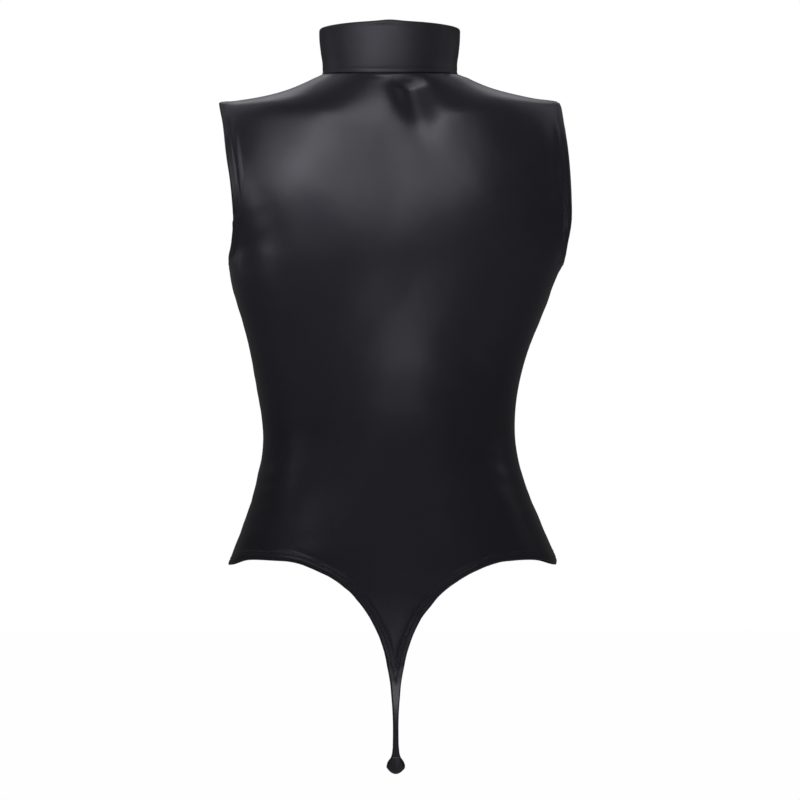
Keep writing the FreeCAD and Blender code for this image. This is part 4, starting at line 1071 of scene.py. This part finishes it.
def flat_piece(name, node, th, v, depth, t, mat, wave=0.0):
    g, n = P(th, v), normal(th, v)
    if node.startswith("neck"):
        # follows the panel it lies against
        seam = P(np.linspace(0, 2 * math.pi, 300), 0.0)
        top, _ = near(g, [seam])
        g = g + n * (np.where(np.sin(th) > 0, relief(g, True), relief(g, False)) * sstep(0, 9, top))[..., None]
    h = wave * np.sin(g[..., 0] / 3.0) * np.sin(g[..., 2] / 4.0)
    g = g - n * (depth + h)[..., None] if wave else g - n * depth
    o = sheet_mesh(name, g, n, t, mat, plain_attrs(g), round_out=0.1)
    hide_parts(node)
    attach(o, "garment")
    return o


def make_side_tape(side, v0, v1, rows, node):
    v = np.linspace(v0, v1, rows)
    c = 0.0 if side > 0 else math.pi
    g = angle_gap(np.full(rows, c), v, 4.0)
    th = c + g[:, None] * np.linspace(-1, 1, 9)[None]
    return flat_piece(node + "_knit", node, th, np.repeat(v[:, None], 9, 1), 1.12, 0.48, TAPE)


def make_neck_tape():
    v = np.linspace(0.12, 0.8, 7)
    a, b = theta_of_x(17.0, v, False), theta_of_x(-17.0, v, False) + 2 * math.pi
    th = a[:, None] + (b - a)[:, None] * np.linspace(0, 1, 150)[None]
    return flat_piece("neck_seam_tape_knit", "neck_seam_tape", th, np.repeat(v[:, None], 150, 1), 1.12, 0.48, TAPE)


def make_centre_tape():
    v = np.linspace(20.7, v_seen_at(628, False), 46)
    x = np.linspace(3.2, -3.2, 7)
    th = theta_of_x(x_centre(v, False)[:, None] + x[None], v[:, None] + 0 * x[None], False)
    return flat_piece("centre_seam_tape_knit", "centre_seam_tape", th, np.repeat(v[:, None], 7, 1), 1.12, 0.48, TAPE)


def make_neck_label():
    v = np.linspace(0.4, 2.0, 16)
    a, b = theta_of_x(14.0, v, True), theta_of_x(-14.0, v, True)
    th = a[:, None] + (b - a)[:, None] * np.linspace(0, 1, 24)[None]
    return flat_piece("neck_label_satin", "neck_label", th, np.repeat(v[:, None], 24, 1), 1.95, 0.25, LABEL)


def make_care_label():
    v = np.linspace(15.4, 16.8, 20)
    g = angle_gap(np.zeros(20), v, 1.0)
    th = g[:, None] * (1.5 + 22.0 * np.linspace(0, 1, 16)[None])
    return flat_piece("care_label_satin", "care_label", th, np.repeat(v[:, None], 16, 1), 1.95, 0.25, LABEL)


# ------------------------------------------------------------------ zip
def arc_pt(x, r, phi):
    x, r, phi = np.broadcast_arrays(x, r, phi)
    return np.stack([x, ZIP_YC - r * np.cos(phi), ZIP_ZC + r * np.sin(phi)], -1)


PHI_TOP = math.asin((ZIP_TOP_Z - 1.5 - ZIP_ZC) / ZIP_R)
PHI_BOT = math.asin((ZIP_BOT_Z + 6.0 - ZIP_ZC) / ZIP_R)


def front_drop(x, z):
    """How far the front curves back from its centre line at x."""
    x, z = np.broadcast_arrays(np.asarray(x, float), np.asarray(z, float))
    w = bisect(lambda m: CC[3](m) < z, np.zeros_like(z), np.ones_like(z))
    kc, wc = arc_y(z) - 3.0, CC[4](w)
    v = bisect(lambda m: COL[3](m) > z, np.zeros_like(z), np.full_like(z, V_ZIP + 0.5))
    r = crow(v)
    up = z > -18.0
    k = np.where(up, kc, r[7] + r[8])
    hw = np.where(up, wc, np.minimum(r[4], r[5]))
    n = np.where(up, 2.3, r[10])
    return k * (1 - (1 - (np.abs(x) / hw) ** n) ** (1 / n))


def make_zip_tape(side):
    phi = np.linspace(math.asin((ZIP_TOP_Z - 0.8 - ZIP_ZC) / ZIP_R), math.asin((ZIP_BOT_Z - 14.0 - ZIP_ZC) / ZIP_R), 264)
    x = np.array([0.75, 1.6, 2.6, 3.6, 5.0, 6.5, 8.2, 10.0, 12.0, 14.0])
    z = ZIP_ZC + ZIP_R * np.sin(phi)
    # the two tapes meet below the bottom stop, where the fronts are joined
    x = x[None] + 0 * z[:, None]
    x[:, 0] = np.where(z < ZIP_BOT_Z + 1.5, 0.02, 0.75)
    dr = front_drop(x, z[:, None])
    g = arc_pt(side * x, ZIP_R - 1.15 - dr, phi[:, None])
    n = np.stack([0 * dr, -np.cos(phi)[:, None] + 0 * dr, np.sin(phi)[:, None] + 0 * dr], -1)
    o = sheet_mesh("zip_tape_%s_weave" % ("left" if side > 0 else "right"), g, n, 0.5, ZIPTAPE, plain_attrs(g), round_out=0.08)
    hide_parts("zip_tape_left" if side > 0 else "zip_tape_right")
    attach(o, "garment")
    return o


def make_coil(side):
    """A moulded nylon spiral along the zip's arc."""
    length = ZIP_R * (PHI_TOP - 2.2 / ZIP_R - PHI_BOT)
    pitch, per = 1.35, 14
    turns = int(length / pitch)
    k = np.arange(turns * per + 1)
    a = 2 * math.pi * k / per
    s = pitch * k / per + (0.5 * pitch if side < 0 else 0)
    cx, hx, hr = 1.45, 1.28, 0.60
    cs, sn = np.cos(a), np.sin(a)
    # flattened oval loop with a thicker head towards the middle
    x = side * (cx - hx * np.sign(cs) * np.abs(cs) ** 0.8)
    r = ZIP_R - 0.22 + hr * sn
    phi = PHI_TOP - 2.2 / ZIP_R - s / ZIP_R
    line = arc_pt(x, r, phi)
    rad = 0.27 + 0.09 * np.clip(cs, 0, 1)
    t = unit(np.gradient(line, axis=0))
    ref = np.array([0.0, 0.0, 1.0])
    u = unit(np.cross(t, ref))
    w = np.cross(t, u)
    ang = np.arange(6) * math.pi / 3
    ring = line[:, None] + rad[:, None, None] * (np.cos(ang)[None, :, None] * u[:, None] + np.sin(ang)[None, :, None] * w[:, None])
    n = len(line)
    verts = ring.reshape(-1, 3)
    faces = []
    for i in range(n - 1):
        for j in range(6):
            j2 = (j + 1) % 6
            faces.append((i * 6 + j, i * 6 + j2, (i + 1) * 6 + j2, (i + 1) * 6 + j))
    faces.append(tuple(range(5, -1, -1)))
    faces.append(tuple((n - 1) * 6 + j for j in range(6)))
    o = finish_mesh("zip_coil_%s_spiral" % ("left" if side > 0 else "right"), verts, faces, COIL)
    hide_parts("zip_coil_left" if side > 0 else "zip_coil_right")
    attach(o, "garment")
    return o


back = make_back()
fronts = [make_front(1), make_front(-1)]
collar = make_collar()
gusset, lining = make_gusset()
arm_hems = [make_armhole_hem(1), make_armhole_hem(-1)]
leg_hems = [make_leg_hem(1), make_leg_hem(-1)]
sh_tapes = [make_side_tape(1, 0.95, 4.6, 40, "shoulder_tape_left"), make_side_tape(-1, 0.95, 4.6, 40, "shoulder_tape_right")]
sd_tapes = [make_side_tape(1, 11.75, 22.6, 110, "side_seam_tape_left"), make_side_tape(-1, 11.75, 22.6, 110, "side_seam_tape_right")]
neck_tape, centre_tape = make_neck_tape(), make_centre_tape()
neck_label, care_label = make_neck_label(), make_care_label()
zip_tapes = [make_zip_tape(1), make_zip_tape(-1)]
coils = [make_coil(1), make_coil(-1)]
for node in ("zip_slider", "zip_pull", "zip_top_stop_left", "zip_top_stop_right", "zip_bottom_stop"):
    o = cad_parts[node]
    o.data.materials.clear()
    o.data.materials.append(METAL)
    b = o.modifiers.new("rounded", "BEVEL")
    b.width = 0.00022 if node.startswith("zip_s") or node == "zip_pull" else 0.0003
    b.segments = 2
    b.limit_method = "ANGLE"
    b.angle_limit = math.radians(35)


def area_of(o):
    """Area of one side of a thin closed mesh, in square metres."""
    me = o.data
    a = np.empty(len(me.polygons))
    me.polygons.foreach_get("area", a)
    return float(a.sum()) / 2


def declare(o, w, l):
    a = area_of(o) * 0.94
    print("SHEET", o.name, round(a, 5), "share of", round(a / (w * l), 3))


declare(back, 0.40, 0.72)
declare(fronts[0], 0.22, 0.62)
declare(fronts[1], 0.22, 0.62)
declare(collar, 0.42, 0.055)
declare(gusset, 0.022, 0.15)

# ------------------------------------------------------------------ studio
scene = bpy.context.scene
scene.view_settings.view_transform = "Standard"
scene.view_settings.look = "None"


def emitter(name, strength, color=(1, 1, 1)):
    m = bpy.data.materials.new(name)
    m.use_nodes = True
    t = m.node_tree
    t.nodes.clear()
    e, o = t.nodes.new("ShaderNodeEmission"), t.nodes.new("ShaderNodeOutputMaterial")
    e.inputs[0].default_value = (*color, 1)
    e.inputs[1].default_value = strength
    t.links.new(e.outputs[0], o.inputs[0])
    return m


world = bpy.data.worlds.new("studio")
scene.world = world
world.use_nodes = True
wt = world.node_tree
wt.nodes.clear()
wo, wb = wt.nodes.new("ShaderNodeOutputWorld"), wt.nodes.new("ShaderNodeBackground")
wb.inputs[0].default_value = (1, 1, 1, 1)
wb.inputs[1].default_value = 0.08
wt.links.new(wb.outputs[0], wo.inputs[0])

# white surround that only the camera sees, so the black cloth keeps its contrast
me = bpy.data.meshes.new("surround")
R = 14.0
vv, ff = [], []
NU, NV = 32, 16
for j in range(NV + 1):
    for i in range(NU):
        a, e = 2 * math.pi * i / NU, math.pi * (j / NV - 0.5)
        vv.append((R * math.cos(a) * math.cos(e), R * math.sin(a) * math.cos(e), R * math.sin(e)))
for j in range(NV):
    for i in range(NU):
        ff.append((j * NU + i, j * NU + (i + 1) % NU, (j + 1) * NU + (i + 1) % NU, (j + 1) * NU + i))
me.from_pydata(vv, [], ff)
surround = bpy.data.objects.new("surround", me)
me.materials.append(emitter("surround_white", 1.0))
scene.collection.objects.link(surround)
me = bpy.data.meshes.new("floor")
S = 9.0
me.from_pydata([(-S, -S, -1.15), (S, -S, -1.15), (S, S, -1.15), (-S, S, -1.15)], [], [(0, 1, 2, 3)])
floor = bpy.data.objects.new("floor", me)
me.materials.append(emitter("floor_white", 0.99))
scene.collection.objects.link(floor)
for o in (surround, floor):
    o.visible_diffuse = o.visible_glossy = o.visible_transmission = o.visible_shadow = False


TINT = (0.97, 0.965, 1.06)


def softbox(name, az, el, dist, wide, high, radiance, roll=0.0, about=(0.0, 0.09, -0.12), tilt=0.0, grid=None):
    """Soft light seen from a point of the garment at an azimuth (0 behind the wearer, + to their left) and elevation."""
    l = bpy.data.lights.new(name, "AREA")
    l.shape, l.color = "RECTANGLE", TINT
    l.size, l.size_y = wide, high
    l.energy = radiance * math.pi * wide * high
    if grid:
        # honeycomb: the light only leaves within this cone
        h = math.radians(grid / 2)
        l.spread = 2 * h
        l.energy *= (math.tan(h) - h) / math.tan(h)
    a, e = math.radians(az), math.radians(el)
    to = Vector((math.sin(a) * math.cos(e), math.cos(a) * math.cos(e), math.sin(e)))
    o = bpy.data.objects.new(name, l)
    o.location = Vector(about) + to * dist
    q = to.to_track_quat("Z", "Y")
    q = q @ Quaternion((1, 0, 0), math.radians(tilt)) @ Quaternion((0, 0, 1), math.radians(roll))
    o.rotation_euler = q.to_euler()
    o.visible_camera = False
    scene.collection.objects.link(o)
    return o


softbox("key", 18, 27, 0.66, 1.04, 0.46, 1.75, tilt=17, grid=110)
softbox("key_core", 21, 36, 0.64, 1.00, 0.14, 2.0, roll=52, tilt=10, grid=120)
softbox("nape", 9, 56, 0.60, 0.20, 0.22, 2.4, grid=60)
softbox("nape_right", -17, 50, 0.60, 0.12, 0.22, 0.7, grid=60)
softbox("key_left", 66, 2, 0.9, 0.22, 0.32, 3.2, grid=30)
softbox("spine", -5, -20, 1.5, 0.22, 0.44, 3.4, about=(0.0, 0.09, -0.25), grid=30)
softbox("side", -92, 8, 0.8, 0.30, 0.36, 1.5, about=(-0.08, 0.06, -0.10), grid=34)
softbox("hem_right", -128, 6, 0.6, 0.13, 0.22, 2.2, about=(-0.16, 0.03, -0.085), grid=30)
softbox("hem_left", 116, 6, 0.6, 0.16, 0.30, 1.7, about=(0.15, 0.03, -0.10), grid=34)
softbox("seat", 0, -4, 1.2, 0.30, 0.17, 0.75, about=(0.0, 0.10, -0.53), grid=20)
softbox("under", -22, -60, 1.6, 1.6, 1.0, 2.1, about=(0.0, 0.09, -0.45))
softbox("front_left", 118, 45, 1.8, 1.4, 1.1, 0.40)
softbox("front_right", -118, 45, 1.8, 1.4, 1.1, 0.32)
softbox("front", 176, 40, 1.5, 1.1, 0.6, 1.3, about=(0.0, -0.05, -0.2), grid=60)

cam = bpy.data.cameras.new("camera")
camera = bpy.data.objects.new("camera", cam)
scene.collection.objects.link(camera)
cam.sensor_width = 36.0
cam.lens = 36.0 * EYE_D / (800 * EYE_S)
camera.location = (EYE_X / 1000, EYE_D / 1000, EYE_Z / 1000)
camera.rotation_euler = (math.pi / 2, 0, math.pi)
cam.clip_start, cam.clip_end = 0.05, 60
scene.camera = camera
